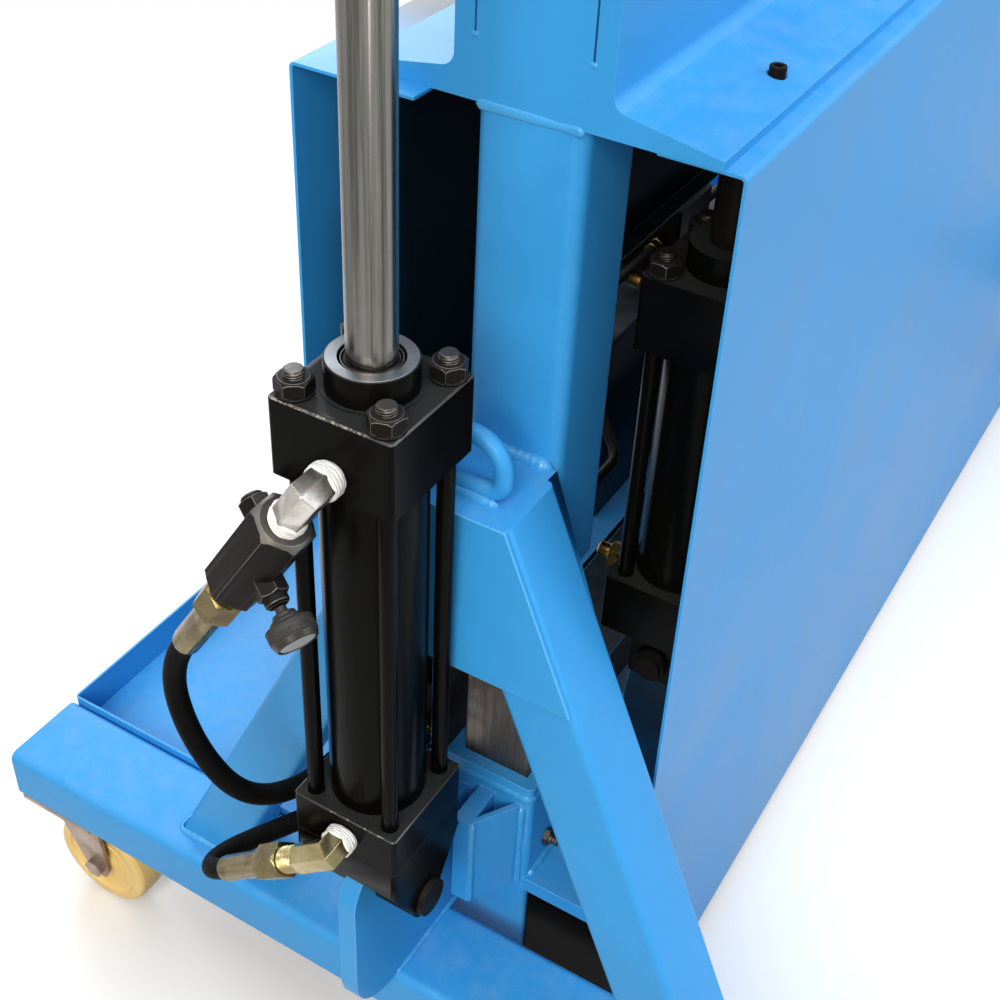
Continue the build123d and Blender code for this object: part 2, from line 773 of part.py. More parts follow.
with BuildPart() as clevis_pins:
    for side in ends:
        front = Plane(origin=(side * rod_x, rod_offset - half_block, pin_z), x_dir=(1, 0, 0), z_dir=(0, -1, 0))
        disc(front, pin_radius, -block_side - pin_head - 3, block_side + pin_head + 3)
        disc(front, pin_radius + 4, 0, pin_head)
        disc(front, pin_radius + 3, -block_side - pin_head, pin_head)
        across = Plane(origin=(side * inner_x, -inner_offset, inner_pin_z), x_dir=(0, 1, 0), z_dir=(1, 0, 0))
        ear_outer = ear_inner + inner_ear
        disc(across, pin_radius, -ear_outer - pin_head - 3, 2 * (ear_outer + pin_head + 3))
        disc(across, pin_radius + 3, ear_outer + 0.3, pin_head)
        disc(across, pin_radius + 3, -ear_outer - 0.3 - pin_head, pin_head)
save(clevis_pins, "clevis_pins")

# Piston rods with pistons, raised position; threaded ends pass through the ram flange
piston_top = block_bottom - piston_gap
with BuildPart() as piston_rods:
    for side in ends:
        post(side * rod_x, rod_offset, piston_top, rod_radius, ram_z - piston_top)
        post(side * rod_x, rod_offset, piston_top - piston_height, bore_radius - running, piston_height)
        post(side * rod_x, rod_offset, ram_z, rod_thread_radius, ram_flange_thickness + rod_thread_length)
save(piston_rods, "piston_rods")

with BuildPart() as rod_nuts:
    for side in ends:
        upright = Plane(origin=(side * rod_x, rod_offset, 0), x_dir=(1, 0.3, 0), z_dir=(0, 0, 1))
        hexagon(upright, rod_nut_flats, ram_flange_top, rod_nut_height)
        disc(upright, rod_thread_radius, ram_flange_top, rod_nut_height, Mode.SUBTRACT)
save(rod_nuts, "rod_nuts")

# Inner cylinders that stand on the shelf and back up the bed flange
with BuildPart() as inner_blocks:
    for side in ends:
        x = side * inner_x
        slab(x, -inner_offset, inner_block_bottom, block_side, block_side, block_height)
        slab(x, -inner_offset, inner_clevis_bottom, block_side, block_side,
             inner_clevis_height + inner_cap_height)
    fillet(inner_blocks.edges().filter_by(Axis.Z), 3)
    for side in ends:
        x = side * inner_x
        post(x, -inner_offset, inner_block_top, gland_radius, gland_height)
        for half in ends:
            slab(x + half * (ear_inner + inner_ear / 2), -inner_offset, inner_pin_z - pin_radius - 5, inner_ear,
                 2 * ear_half, inner_clevis_bottom - inner_pin_z + pin_radius + 5)
        with Locations(Location((x, -inner_offset, inner_pin_z), (0, 90, 0))):
            Cylinder(pin_radius + running, block_side, mode=Mode.SUBTRACT)
        post(x, -inner_offset, inner_block_bottom, rod_radius, block_height + gland_height, Mode.SUBTRACT)
        for dx in ends:
            for dy in ends:
                post(x + dx * tie_pitch / 2, -inner_offset + dy * tie_pitch / 2, inner_clevis_bottom,
                     tie_radius, inner_block_top - inner_clevis_bottom, Mode.SUBTRACT)
save(inner_blocks, "inner_blocks")

with BuildPart() as inner_rods:
    for side in ends:
        inner_top = inner_block_bottom - inner_piston_drop
        post(side * inner_x, -inner_offset, inner_top, rod_radius, bed_z - inner_top)
        post(side * inner_x, -inner_offset, inner_top - piston_height, bore_radius - running, piston_height)
save(inner_rods, "inner_rods")

with BuildPart() as inner_fittings:
    for side in ends:
        for z in (inner_block_bottom + inner_port_rise, inner_cap_top - inner_port_drop):
            back = Plane(origin=(side * inner_x, half_block - inner_offset, z), x_dir=(1, 0, 0), z_dir=(0, 1, 0))
            disc(back, inner_nipple_radius, 0, inner_nipple)
            hexagon(back, inner_nut_flats, inner_nipple, inner_nut)
            disc(back, inner_tail_radius, inner_nipple + inner_nut, inner_tail)
save(inner_fittings, "inner_fittings")

# Sheet covers that hang under the bed flange, and their screws
def build_cover(half, y, lean, reach, lip_width, drop, name):
    """Folded sheet with a lip under the flange, notched for the inner rods on the front."""
    with BuildPart() as cover:
        low = bed_z - drop
        foot = y + lean
        with BuildSketch(Plane.YZ.offset(-reach)):
            with BuildLine():
                Polyline((half * (y - lip_width), bed_z), (half * y, bed_z), (half * foot, low),
                         (half * (foot - hem_width), low), (half * (foot - hem_width), low + sheet),
                         (half * (foot - sheet), low + sheet), (half * (y - sheet), bed_z - sheet),
                         (half * (y - lip_width), bed_z - sheet), close=True)
            make_face()
        extrude(amount=2 * reach)
        folds = cover.edges().filter_by(Axis.X)
        for offset, radius in ((0, fold_radius), (sheet, fold_radius - sheet)):
            corners = folds.filter_by(lambda e: abs(abs(e.center().Y) - y + offset) < 0.01
                                      or abs(abs(e.center().Y) - foot + offset) < 0.01)
            fillet(corners, radius)
        for x, screw_line, row in screw_places:
            if row == half:
                post(x, screw_line, bed_z - sheet, screw_hole, sheet, Mode.SUBTRACT)
        if half < 0:
            notch = rod_radius + notch_clearance
            for side in ends:
                post(side * inner_x, -inner_offset, bed_z - sheet, notch, sheet, Mode.SUBTRACT)
                slab(side * inner_x, -inner_offset + notch, bed_z - sheet, 2 * notch, 2 * notch, sheet,
                     Mode.SUBTRACT)
    save(cover, name)


build_cover(-1, front_cover_y, front_cover_lean, bed_half - front_cover_setback, front_lip, front_cover_drop,
            "front_cover")
build_cover(1, back_cover_y, 0, bed_half + back_cover_overhang, back_lip, back_cover_drop, "back_cover")

with BuildPart() as cover_screws:
    for x, y, half in screw_places:
        if half > 0 or abs(x) < inner_x - 1:
            post(x, y, bed_z - sheet - screw_tail, screw_radius, seat_z - bed_z + sheet + screw_tail)
        post(x, y, seat_z, screw_head_radius, screw_head)
    chamfer(cover_screws.faces().sort_by(Axis.Z)[-8:].edges(), 0.6)
save(cover_screws, "cover_screws")

# Drip tray between the rails, behind the tie beam
tray_front = tie_y + tie_depth / 2 + tray_gap
tray_back = rail_length / 2
tray_top = rail_top + tray_rim
tray_low = tray_top - tray_depth
tray_half = rail_inner - 1
tray_y = (tray_front + tray_back) / 2
with BuildPart() as drip_tray:
    slab(0, tray_y, tray_low, 2 * tray_half, tray_back - tray_front, tray_depth)
    fillet(drip_tray.edges().filter_by(Axis.Z), 4)
    slab(0, tray_y, tray_low + sheet, 2 * (tray_half - sheet), tray_back - tray_front - 2 * sheet, tray_depth,
         Mode.SUBTRACT)
save(drip_tray, "drip_tray")

# Castors: plates under the rail ends, swivel forks and wheels
castor_y = rail_length / 2 - castor_inset
plate_low = castor_height - castor_plate
with BuildPart() as castor_plates:
    for side in ends:
        for half in ends:
            slab(side * rail_x, half * castor_y, plate_low, 74, 78, castor_plate)
            post(side * rail_x, half * castor_y, plate_low, kingpin_radius + running, castor_plate, Mode.SUBTRACT)
save(castor_plates, "castor_plates")

race_top = plate_low - 0.3
race_low = race_top - race_height


def build_castor(side, half, tag):
    """One swivel fork with its axle, and the wheel that turns on it."""
    x = side * rail_x
    y = half * castor_y
    axle_y = y - half * castor_trail
    leg_x = wheel_width / 2 + fork_gap
    crown_low = race_low - fork_wall
    with BuildPart() as fork:
        post(x, y, race_low, 27, race_height)
        post(x, y, race_low, kingpin_radius, castor_height - race_low - 0.5)
        slab(x, y - half * 3, crown_low, 2 * (leg_x + fork_wall), 52, fork_wall)
        for flank in ends:
            with BuildSketch(Plane.YZ.offset(x + flank * leg_x)):
                with BuildLine():
                    Polyline((y + half * 23, race_low), (y - half * 29, race_low),
                             (axle_y - half * 14, wheel_radius), (axle_y - half * 8, wheel_radius - 13),
                             (axle_y + half * 8, wheel_radius - 13), (axle_y + half * 14, wheel_radius),
                             close=True)
                make_face()
            extrude(amount=flank * fork_wall)
        axle = Plane(origin=(x, axle_y, wheel_radius), x_dir=(0, 1, 0), z_dir=(1, 0, 0))
        disc(axle, axle_radius, -leg_x - fork_wall, 2 * (leg_x + fork_wall))
        hexagon(axle, 17, leg_x + fork_wall, 6)
        hexagon(axle, 17, -leg_x - fork_wall - 6, 6)
    save(fork, f"castor_fork_{tag}")
    with BuildPart() as wheel:
        disc(axle, wheel_radius, -wheel_width / 2, wheel_width)
        fillet(wheel.edges().filter_by(GeomType.CIRCLE), 5)
        for face in ends:
            with BuildSketch(axle.offset(face * (wheel_width / 2 - 3))):
                Circle(wheel_radius - 14)
                Circle(17, mode=Mode.SUBTRACT)
            extrude(amount=face * 4, mode=Mode.SUBTRACT)
        disc(axle, 14, -wheel_width / 2 - 1, wheel_width + 2)
        disc(axle, axle_radius + running, -wheel_width, 2 * wheel_width, Mode.SUBTRACT)
    save(wheel, f"castor_wheel_{tag}")


build_castor(-1, -1, "front_left")
build_castor(1, -1, "front_right")
build_castor(-1, 1, "back_left")
build_castor(1, 1, "back_right")

# Ports, elbows, flow valves, hose ends
port_z = block_top - port_drop
cap_port_z = cap_top - cap_port_drop
elbow_x = rod_x + half_block + elbow_reach
lower_elbow_x = rod_x + half_block + lower_elbow_reach
lean = math.radians(chain_angle)
lower_lean = math.radians(lower_chain_angle)


def upper_chain(side):
    """Plane at the upper elbow's centre with its normal along the valve."""
    return Plane(origin=(side * elbow_x, rod_offset, port_z), x_dir=(1, 0, 0),
                 z_dir=(0, math.sin(lean), -math.cos(lean)))


def lower_chain(side):
    """Plane at the lower elbow's centre with its normal along the hose end."""
    return Plane(origin=(side * lower_elbow_x, rod_offset, cap_port_z), x_dir=(1, 0, 0),
                 z_dir=(0, math.sin(lower_lean), -math.cos(lower_lean)))


def bent_hexagon(port, chain, start, length):
    """Forged elbow: hexagonal bar from the port's plane to the chain's origin and on along the chain."""
    first = port.origin + port.z_dir * start
    with BuildLine() as bend:
        Polyline(first, chain.origin, chain.origin + chain.z_dir * length)
    with BuildSketch(Plane(origin=first, x_dir=(0, 1, 0), z_dir=port.z_dir)) as outline:
        RegularPolygon(elbow_radius, 6, major_radius=False)
    sweep(outline.sketch, path=bend.wire(), transition=Transition.RIGHT)


with BuildPart() as upper_elbows:
    for side in ends:
        face = Plane(origin=(side * (rod_x + half_block), rod_offset, port_z), z_dir=(side, 0, 0))
        disc(face, nipple_radius, 0, elbow_reach)
        bent_hexagon(face, upper_chain(side), tape_width, tape_start)
        disc(upper_chain(side), nipple_radius, 0, valve_start)
save(upper_elbows, "upper_elbows")

knob_at = 70.0
knob_lean = 0.358


def knob_plane(side):
    """Plane on the valve's axis with its normal along the knob's stem."""
    chain = upper_chain(side)
    start = chain.origin + chain.z_dir * knob_at
    across = math.sqrt(1 - knob_lean ** 2)
    return Plane(origin=start, z_dir=(side * knob_lean, -across * math.cos(lean), -across * math.sin(lean)))


with BuildPart() as flow_valves:
    for side in ends:
        chain = upper_chain(side)
        hexagon(chain, valve_flats, valve_start, valve_length)
        knob = knob_plane(side)
        hexagon(knob, 19, 0, 24)
        disc(knob, 6, 0, 31)
        hexagon(Plane(origin=chain.origin + chain.z_dir * 45, z_dir=-knob.z_dir), 17, 0, 24)
save(flow_valves, "flow_valves")


def build_knob(side, name):
    """Adjusting knob with stem, collar and gripped rim."""
    knob = knob_plane(side)
    with BuildPart() as part:
        disc(knob, 3.5, 31, 8)
        disc(knob, 7, 35, 4)
        disc(knob, 10, 38, 4)
        disc(knob, 14.2, 41, 13)
        chamfer(part.edges().filter_by(GeomType.CIRCLE).sort_by(SortBy.RADIUS)[-2:], 1)
        with BuildSketch(knob.offset(42.5)):
            with PolarLocations(14.6, 24):
                Circle(0.9)
        extrude(amount=10, mode=Mode.SUBTRACT)
    save(part, name)


build_knob(-1, "flow_knob_left")
build_knob(1, "flow_knob_right")

valve_end = valve_start + valve_length
hose_start = valve_end + hose_nut_length + ferrule_length
lower_hose_start = lower_nut_start + lower_nut_length + lower_ferrule_length
block_face = post_outer - block_setback
block_inner = block_face - block_x
hose_end_x = block_face + end_ferrule
upper_end_y = rod_offset + upper_end_offset
upper_end_z = rail_top + upper_end_rise
lower_end_y = rod_offset + lower_end_offset
lower_end_z = rail_top + lower_end_rise
with BuildPart() as hose_fittings:
    for side in ends:
        chain = upper_chain(side)
        hexagon(chain, hose_nut_flats, valve_end, hose_nut_length)
        disc(chain, ferrule_radius, valve_end + hose_nut_length, ferrule_length)
        face = Plane(origin=(side * (rod_x + half_block), rod_offset, cap_port_z), z_dir=(side, 0, 0))
        disc(face, nipple_radius, 0, lower_elbow_reach)
        lower = lower_chain(side)
        bent_hexagon(face, lower, tape_width, lower_nut_start)
        hexagon(lower, hose_nut_flats + 3, lower_nut_start, lower_nut_length)
        disc(lower, ferrule_radius, lower_nut_start + lower_nut_length, lower_ferrule_length)
        for y, z in ((upper_end_y, upper_end_z), (lower_end_y, lower_end_z)):
            inlet = Plane(origin=(side * block_face, y, z), z_dir=(side, 0, 0))
            disc(inlet, ferrule_radius, inlet_nut / 2, end_ferrule - inlet_nut / 2)
            hexagon(inlet, hose_nut_flats, 0, inlet_nut)
save(hose_fittings, "hose_fittings")


def hose_radii(points):
    """Bend radius at each inner corner of a hose's route."""
    radii = []
    for a, b, c in zip(points, points[1:], points[2:]):
        first = b - a
        second = c - b
        turn = math.radians(first.get_angle(second))
        radii.append(0.45 * min(first.length, second.length) / math.tan(turn / 2))
    return radii


def build_hose(points, name):
    """Round hose along straight runs joined by tangent arcs."""
    with BuildPart() as hose:
        with BuildLine() as path:
            FilletPolyline(*points, radius=hose_radii(points))
        with BuildSketch(Plane(origin=path.line @ 0, z_dir=path.line % 0)):
            Circle(hose_radius)
        sweep(path=path.line)
    save(hose, name)
    return path.wire().length, hose.part.volume


def upper_route(side):
    """Route points of the hose from the flow valve to the junction block."""
    start = upper_chain(side).origin + upper_chain(side).z_dir * hose_start
    first = start + upper_chain(side).z_dir * upper_lead
    return [start, first,
            Vector(side * (elbow_x - upper_sag_x), rod_offset + upper_sag_y, rail_top + upper_sag_rise),
            Vector(side * (rod_x + upper_turn_x), rod_offset + upper_turn_y, rail_top + upper_turn_rise),
            Vector(side * (rod_x + upper_run_x), rod_offset + upper_run_y, rail_top + upper_run_rise),
            Vector(side * (rod_x - upper_in_x), upper_end_y, upper_end_z),
            Vector(side * hose_end_x, upper_end_y, upper_end_z)]


def lower_route(side):
    """Route points of the hose from the lower elbow to the junction block."""
    start = lower_chain(side).origin + lower_chain(side).z_dir * lower_hose_start
    first = start + lower_chain(side).z_dir * lower_lead
    return [start, first,
            Vector(side * (lower_elbow_x - lower_sag_x), rod_offset + lower_sag_y, rail_top + lower_sag_rise),
            Vector(side * (rod_x - lower_turn_x), rod_offset + lower_turn_y, rail_top + lower_turn_rise),
            Vector(side * (rod_x - lower_in_x), lower_end_y, lower_end_z),
            Vector(side * hose_end_x, lower_end_y, lower_end_z)]


for side, tag in ((-1, "left"), (1, "right")):
    for route, level in ((upper_route(side), "upper"), (lower_route(side), "lower")):
        length, volume = build_hose(route, f"hose_{level}_{tag}")
        print(level, tag, "length", round(length, 1), "volume ratio",
              round(volume / (math.pi * hose_radius ** 2 * length), 4),
              "radii", [round(r, 1) for r in hose_radii(route)])

# Junction blocks on the backs of the posts, and the steel pipes to the control valve
with BuildPart() as junction_blocks:
    for side in ends:
        slab(side * (block_inner + block_x / 2), post_side / 2 + block_y / 2, rail_top + block_rise, block_x,
             block_y, block_z)
    chamfer(junction_blocks.edges().filter_by(Axis.X), 2)
save(junction_blocks, "junction_blocks")

tank_back = tray_back - tank_back_gap
tank_y_mid = tank_back - tank_y / 2
tank_low = tray_low + sheet
tank_top = tank_low + tank_z
tank_x_mid = tank_left + tank_x / 2
valve_x = tank_x_mid
valve_y = tank_back - tank_y + valve_block / 2 + 3
pipe_z = tank_top + valve_block / 2
with BuildPart() as supply_pipes:
    for side in ends:
        for y, z, shift in ((upper_end_y, upper_end_z, -pipe_spread), (lower_end_y, lower_end_z, pipe_spread)):
            end_x = valve_x + side * valve_block / 2
            turn_x = block_inner - pipe_run + 2 * shift
            with BuildLine() as path:
                FilletPolyline((side * block_inner, y, z), (side * turn_x, y, z),
                               (side * (turn_x - pipe_slope), valve_y + shift, pipe_z),
                               (end_x, valve_y + shift, pipe_z), radius=pipe_bend)
            with BuildSketch(Plane(origin=path.line @ 0, z_dir=path.line % 0)):
                Circle(pipe_radius)
            sweep(path=path.line)
save(supply_pipes, "supply_pipes")

# Hydraulic unit in the tray
with BuildPart() as oil_tank:
    slab(tank_x_mid, tank_y_mid, tank_low, tank_x, tank_y, tank_z)
    fillet(oil_tank.edges().filter_by(Axis.Z), 10)
    slab(tank_x_mid, tank_y_mid, tank_low + 3, tank_x - 6, tank_y - 6, tank_z - 8, Mode.SUBTRACT)
    post(tank_left + filler_inset, tank_back - filler_inset, tank_top, filler_radius, filler_height)
save(oil_tank, "oil_tank")

motor_x = tank_x_mid + motor_shift
motor_z = tank_top + motor_radius + motor_lift
motor_y = tank_back - motor_radius - motor_lift
motor_axis = Plane(origin=(motor_x, motor_y, motor_z), x_dir=(0, 1, 0), z_dir=(1, 0, 0))
with BuildPart() as pump_motor:
    disc(motor_axis, motor_radius, -motor_length / 2, motor_length)
    fillet(pump_motor.edges().filter_by(GeomType.CIRCLE), 5)
    disc(motor_axis, pump_radius, -motor_length / 2 - pump_length, pump_length)
    slab(motor_x, motor_y, tank_top, foot_x, foot_y, motor_radius)
    slab(motor_x, motor_y, motor_z + motor_radius - terminal_sink, terminal_x, terminal_y, terminal_z)
save(pump_motor, "pump_motor")

with BuildPart() as control_valve:
    slab(valve_x, valve_y, tank_top, valve_block, valve_block, valve_block)
    chamfer(control_valve.edges().filter_by(Axis.Z), 3)
    slab(valve_x, valve_y, tank_top + valve_block, valve_body_x, valve_body, valve_body)
    for face in ends:
        coil = Plane(origin=(valve_x, valve_y, tank_top + valve_block + valve_body / 2), z_dir=(face, 0, 0))
        disc(coil, solenoid_radius, valve_body_x / 2, solenoid_length)
save(control_valve, "control_valve")

# Control box on the front cover near the right end, with its two buttons
box_centre = bed_half - box_inset - box_x / 2
box_low = bed_z - box_drop - box_z
box_back = -cover_face(box_low) - box_gap
box_front = box_back - box_y
box_mid = (box_back + box_front) / 2
with BuildPart() as control_box:
    slab(box_centre, box_mid, box_low, box_x, box_y, box_z)
    fillet(control_box.edges().filter_by(Axis.Y), 8)
    slab(box_centre, box_mid, box_low + box_wall, box_x - 2 * box_wall, box_y - 2 * box_wall,
         box_z - 2 * box_wall, Mode.SUBTRACT)
    for rise, radius in ((start_rise, button_radius), (stop_rise, stop_radius)):
        with Locations(Location((box_centre, box_front, box_low + rise), (90, 0, 0))):
            Cylinder(radius * stem_share + stem_gap, 4 * box_wall, mode=Mode.SUBTRACT)
save(control_box, "control_box")


def build_button(radius, height, z, name):
    """Push button whose stem passes through the box front."""
    face = Plane(origin=(box_centre, box_front, z), x_dir=(1, 0, 0), z_dir=(0, -1, 0))
    with BuildPart() as button:
        disc(face, radius, button_travel + button_gap, height)
        fillet(button.edges().filter_by(GeomType.CIRCLE).sort_by(Axis.Y)[0], 2)
        disc(face, radius * stem_share, -3 * box_wall, button_travel + button_gap + 3 * box_wall)
    save(button, name)


build_button(button_radius, button_height, box_low + start_rise, "start_button")
build_button(stop_radius, stop_height, box_low + stop_rise, "emergency_stop")
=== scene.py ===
"""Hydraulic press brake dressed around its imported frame: paint, welds, cylinders, fittings and hoses.

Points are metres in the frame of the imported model: X along the bed, -Y the operator's side, Z up.
Sizes are written in millimetres, as on a drawing, and become metres where points are made.
"""
import json
import logging
import math
from dataclasses import dataclass
from enum import Enum
from itertools import product
from typing import Callable, Optional, Sequence

import bmesh
import bpy
import numpy as np
from mathutils import Matrix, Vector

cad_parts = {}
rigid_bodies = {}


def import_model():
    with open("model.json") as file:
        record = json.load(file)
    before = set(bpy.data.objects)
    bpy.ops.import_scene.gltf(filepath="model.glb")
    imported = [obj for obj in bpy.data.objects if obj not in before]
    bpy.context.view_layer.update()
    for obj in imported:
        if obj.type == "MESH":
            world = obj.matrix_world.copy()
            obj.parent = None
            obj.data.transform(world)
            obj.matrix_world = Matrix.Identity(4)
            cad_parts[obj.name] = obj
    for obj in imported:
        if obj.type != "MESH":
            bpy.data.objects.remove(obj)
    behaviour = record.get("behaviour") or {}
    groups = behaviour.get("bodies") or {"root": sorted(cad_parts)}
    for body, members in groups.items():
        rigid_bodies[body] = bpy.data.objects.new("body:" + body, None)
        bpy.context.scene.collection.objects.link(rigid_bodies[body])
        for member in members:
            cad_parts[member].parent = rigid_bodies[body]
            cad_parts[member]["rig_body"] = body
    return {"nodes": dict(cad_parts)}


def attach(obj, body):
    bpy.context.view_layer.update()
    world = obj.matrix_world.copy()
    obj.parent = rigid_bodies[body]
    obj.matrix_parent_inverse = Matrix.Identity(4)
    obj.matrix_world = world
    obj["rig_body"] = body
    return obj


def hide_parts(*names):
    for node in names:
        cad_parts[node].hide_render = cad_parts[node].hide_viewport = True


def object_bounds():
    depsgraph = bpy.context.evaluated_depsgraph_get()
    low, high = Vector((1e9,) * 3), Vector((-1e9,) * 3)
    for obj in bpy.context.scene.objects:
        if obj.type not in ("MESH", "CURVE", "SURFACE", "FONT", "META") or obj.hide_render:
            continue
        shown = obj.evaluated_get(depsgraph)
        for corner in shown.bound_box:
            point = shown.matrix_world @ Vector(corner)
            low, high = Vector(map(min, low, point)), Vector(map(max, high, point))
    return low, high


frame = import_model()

LOG = logging.getLogger("press_brake")
CAD_LOW, CAD_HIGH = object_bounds()
Array = np.ndarray
Colour = tuple[float, float, float]
Grid = tuple[Array, bool]
Outline = Callable[[Array], Array]
Pair = tuple[float, float]
Point = tuple[float, float, float]
Piece = bpy.types.Object
Finish = bpy.types.Material
Wire = bpy.types.NodeSocket
SIDES: tuple[int, int] = (-1, 1)
END_NAMES: tuple[tuple[int, str], ...] = ((-1, "left"), (1, "right"))
OUT: Point = (1.0, 0.0, 0.0)
IN: Point = (-1.0, 0.0, 0.0)
FRONT: Point = (0.0, -1.0, 0.0)
BACK: Point = (0.0, 1.0, 0.0)
UP: Point = (0.0, 0.0, 1.0)
DOWN: Point = (0.0, 0.0, -1.0)
MM = 0.001
TURN = 2.0 * math.pi
DUST_GREY: Colour = (0.50, 0.52, 0.54)
DUST_BROWN: Colour = (0.42, 0.41, 0.39)
SHARP_ANGLE = 28.0
HEX_CORNER = 1.16
CUT_FALL = 0.66
HEX_STEPS = 72


class Slot(str, Enum):
    """Material slots of the record."""

    BLUE = "blue_paint"
    STEEL = "machined_steel"
    TOOL = "tool_steel"
    CHROME = "chromed_steel"
    BLACK = "black_paint"
    OXIDE = "black_oxide"
    ZINC = "zinc_yellow"
    PLATED = "plated_elbow"
    BRASS = "brass"
    RUBBER = "hose_rubber"
    NYLON = "nylon"
    GREY = "grey_enamel"
    TANK = "tank_paint"
    VALVE = "valve_steel"
    GREEN = "green_plastic"
    RED = "red_plastic"


class Body(str, Enum):
    """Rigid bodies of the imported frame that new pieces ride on."""

    FRAME = "frame"
    RAM = "ram"
    START = "start"
    STOP = "stop"


class Socket(str, Enum):
    """Kinds of node group socket."""

    FLOAT = "NodeSocketFloat"
    VECTOR = "NodeSocketVector"


def srgb(red: int, green: int, blue: int) -> Colour:
    """Scene-linear colour of an 8-bit screen colour.

    Args:
        red: Red from 0 to 255.
        green: Green from 0 to 255.
        blue: Blue from 0 to 255.

    Returns:
        The colour as three linear values.
    """
    level = np.array([red, green, blue], float) / 255.0
    high = ((level + 0.055) / 1.055) ** 2.4
    return tuple(float(v) for v in np.where(level <= 0.04045, level / 12.92, high))


class NodeSheet:
    """Small writer for one shader node tree."""

    def __init__(self, tree: bpy.types.NodeTree) -> None:
        """Start on an empty tree."""
        self.tree = tree
        self.tree.nodes.clear()

    def add(self, kind: str, **settings: object) -> bpy.types.Node:
        """Add a node and set its plain properties.

        Args:
            kind: Blender's identifier of the node.
            **settings: Properties to set on it.

        Returns:
            The new node.
        """
        node = self.tree.nodes.new(kind)
        for key, value in settings.items():
            setattr(node, key, value)
        return node

    def feed(self, target: Wire, value: object) -> None:
        """Link a socket to the target, or write a constant on it.

        Args:
            target: Input socket.
            value: Output socket, number, or colour.
        """
        if isinstance(value, Wire):
            self.tree.links.new(value, target)
        elif isinstance(value, (int, float)):
            target.default_value = value
        else:
            wanted = len(target.default_value)
            target.default_value = tuple(value) + (1.0,) * (wanted - len(value))

    def coords(self, stretch: Sequence[float] = (1.0, 1.0, 1.0)) -> Wire:
        """Object coordinates times a factor for each axis.

        Args:
            stretch: The three factors.

        Returns:
            The vector socket.
        """
        node = self.add("ShaderNodeMapping")
        self.feed(node.inputs["Vector"], self.add("ShaderNodeTexCoord").outputs["Object"])
        node.inputs["Scale"].default_value = tuple(stretch)
        return node.outputs["Vector"]

    def noise(self, place: Wire, scale: object, detail: float = 4.0,
              rough: float = 0.55, warp: float = 0.0) -> Wire:
        """Fractal noise value.

        Args:
            place: Vector socket.
            scale: Features per metre, a number or a socket.
            detail: Octaves.
            rough: Weight of the finer octaves.
            warp: Distortion.

        Returns:
            The value socket.
        """
        node = self.add("ShaderNodeTexNoise")
        self.feed(node.inputs["Vector"], place)
        self.feed(node.inputs["Scale"], scale)
        node.inputs["Detail"].default_value = detail
        node.inputs["Roughness"].default_value = rough
        node.inputs["Distortion"].default_value = warp
        return node.outputs["Fac"]

    def math(self, how: str, first: object, second: object = 0.0, third: object = 0.0,
             clamp: bool = False) -> Wire:
        """Arithmetic on values.

        Args:
            how: Name of the operation.
            first: First operand.
            second: Second operand.
            third: Third operand.
            clamp: Hold the result from 0 to 1.

        Returns:
            The value socket.
        """
        node = self.add("ShaderNodeMath", operation=how, use_clamp=clamp)
        for slot, value in zip(node.inputs, (first, second, third)):
            self.feed(slot, value)
        return node.outputs["Value"]

    def span(self, value: object, low: object, high: object) -> Wire:
        """Smooth step of a value from 0 at low to 1 at high.

        Args:
            value: Number or socket.
            low: Where the step starts.
            high: Where it ends.

        Returns:
            The value socket.
        """
        node = self.add("ShaderNodeMapRange", interpolation_type="SMOOTHSTEP")
        for name, given in (("Value", value), ("From Min", low), ("From Max", high)):
            self.feed(node.inputs[name], given)
        return node.outputs["Result"]

    def blend(self, amount: object, first: object, second: object) -> Wire:
        """Mix two colours.

        Args:
            amount: Share of the second.
            first: First colour.
            second: Second colour.

        Returns:
            The colour socket.
        """
        node = self.add("ShaderNodeMix", data_type="RGBA")
        self.feed(node.inputs[0], amount)
        self.feed(node.inputs[6], first)
        self.feed(node.inputs[7], second)
        return node.outputs[2]

    def bump(self, height: object, strength: float, depth: float) -> Wire:
        """Normal disturbed by a height.

        Args:
            height: Height socket.
            strength: Share of the effect.
            depth: Height of one unit, in metres.

        Returns:
            The normal socket.
        """
        node = self.add("ShaderNodeBump")
        self.feed(node.inputs["Height"], height)
        node.inputs["Strength"].default_value = strength
        node.inputs["Distance"].default_value = depth
        return node.outputs["Normal"]

    def group(self, tree: bpy.types.NodeTree, **values: object) -> bpy.types.Node:
        """Place a node group with its own values.

        Args:
            tree: The group.
            **values: Inputs by name.

        Returns:
            The group node.
        """
        node = self.add("ShaderNodeGroup")
        node.node_tree = tree
        for key, value in values.items():
            self.feed(node.inputs[key], value)
        return node

    def surface(self, **values: object) -> None:
        """Principled shader wired to the material's output.

        Args:
            **values: Inputs by name, with underscores for blanks.
        """
        shader = self.add("ShaderNodeBsdfPrincipled")
        for key, value in values.items():
            self.feed(shader.inputs[key.replace("_", " ")], value)
        end = self.add("ShaderNodeOutputMaterial")
        self.tree.links.new(shader.outputs["BSDF"], end.inputs["Surface"])


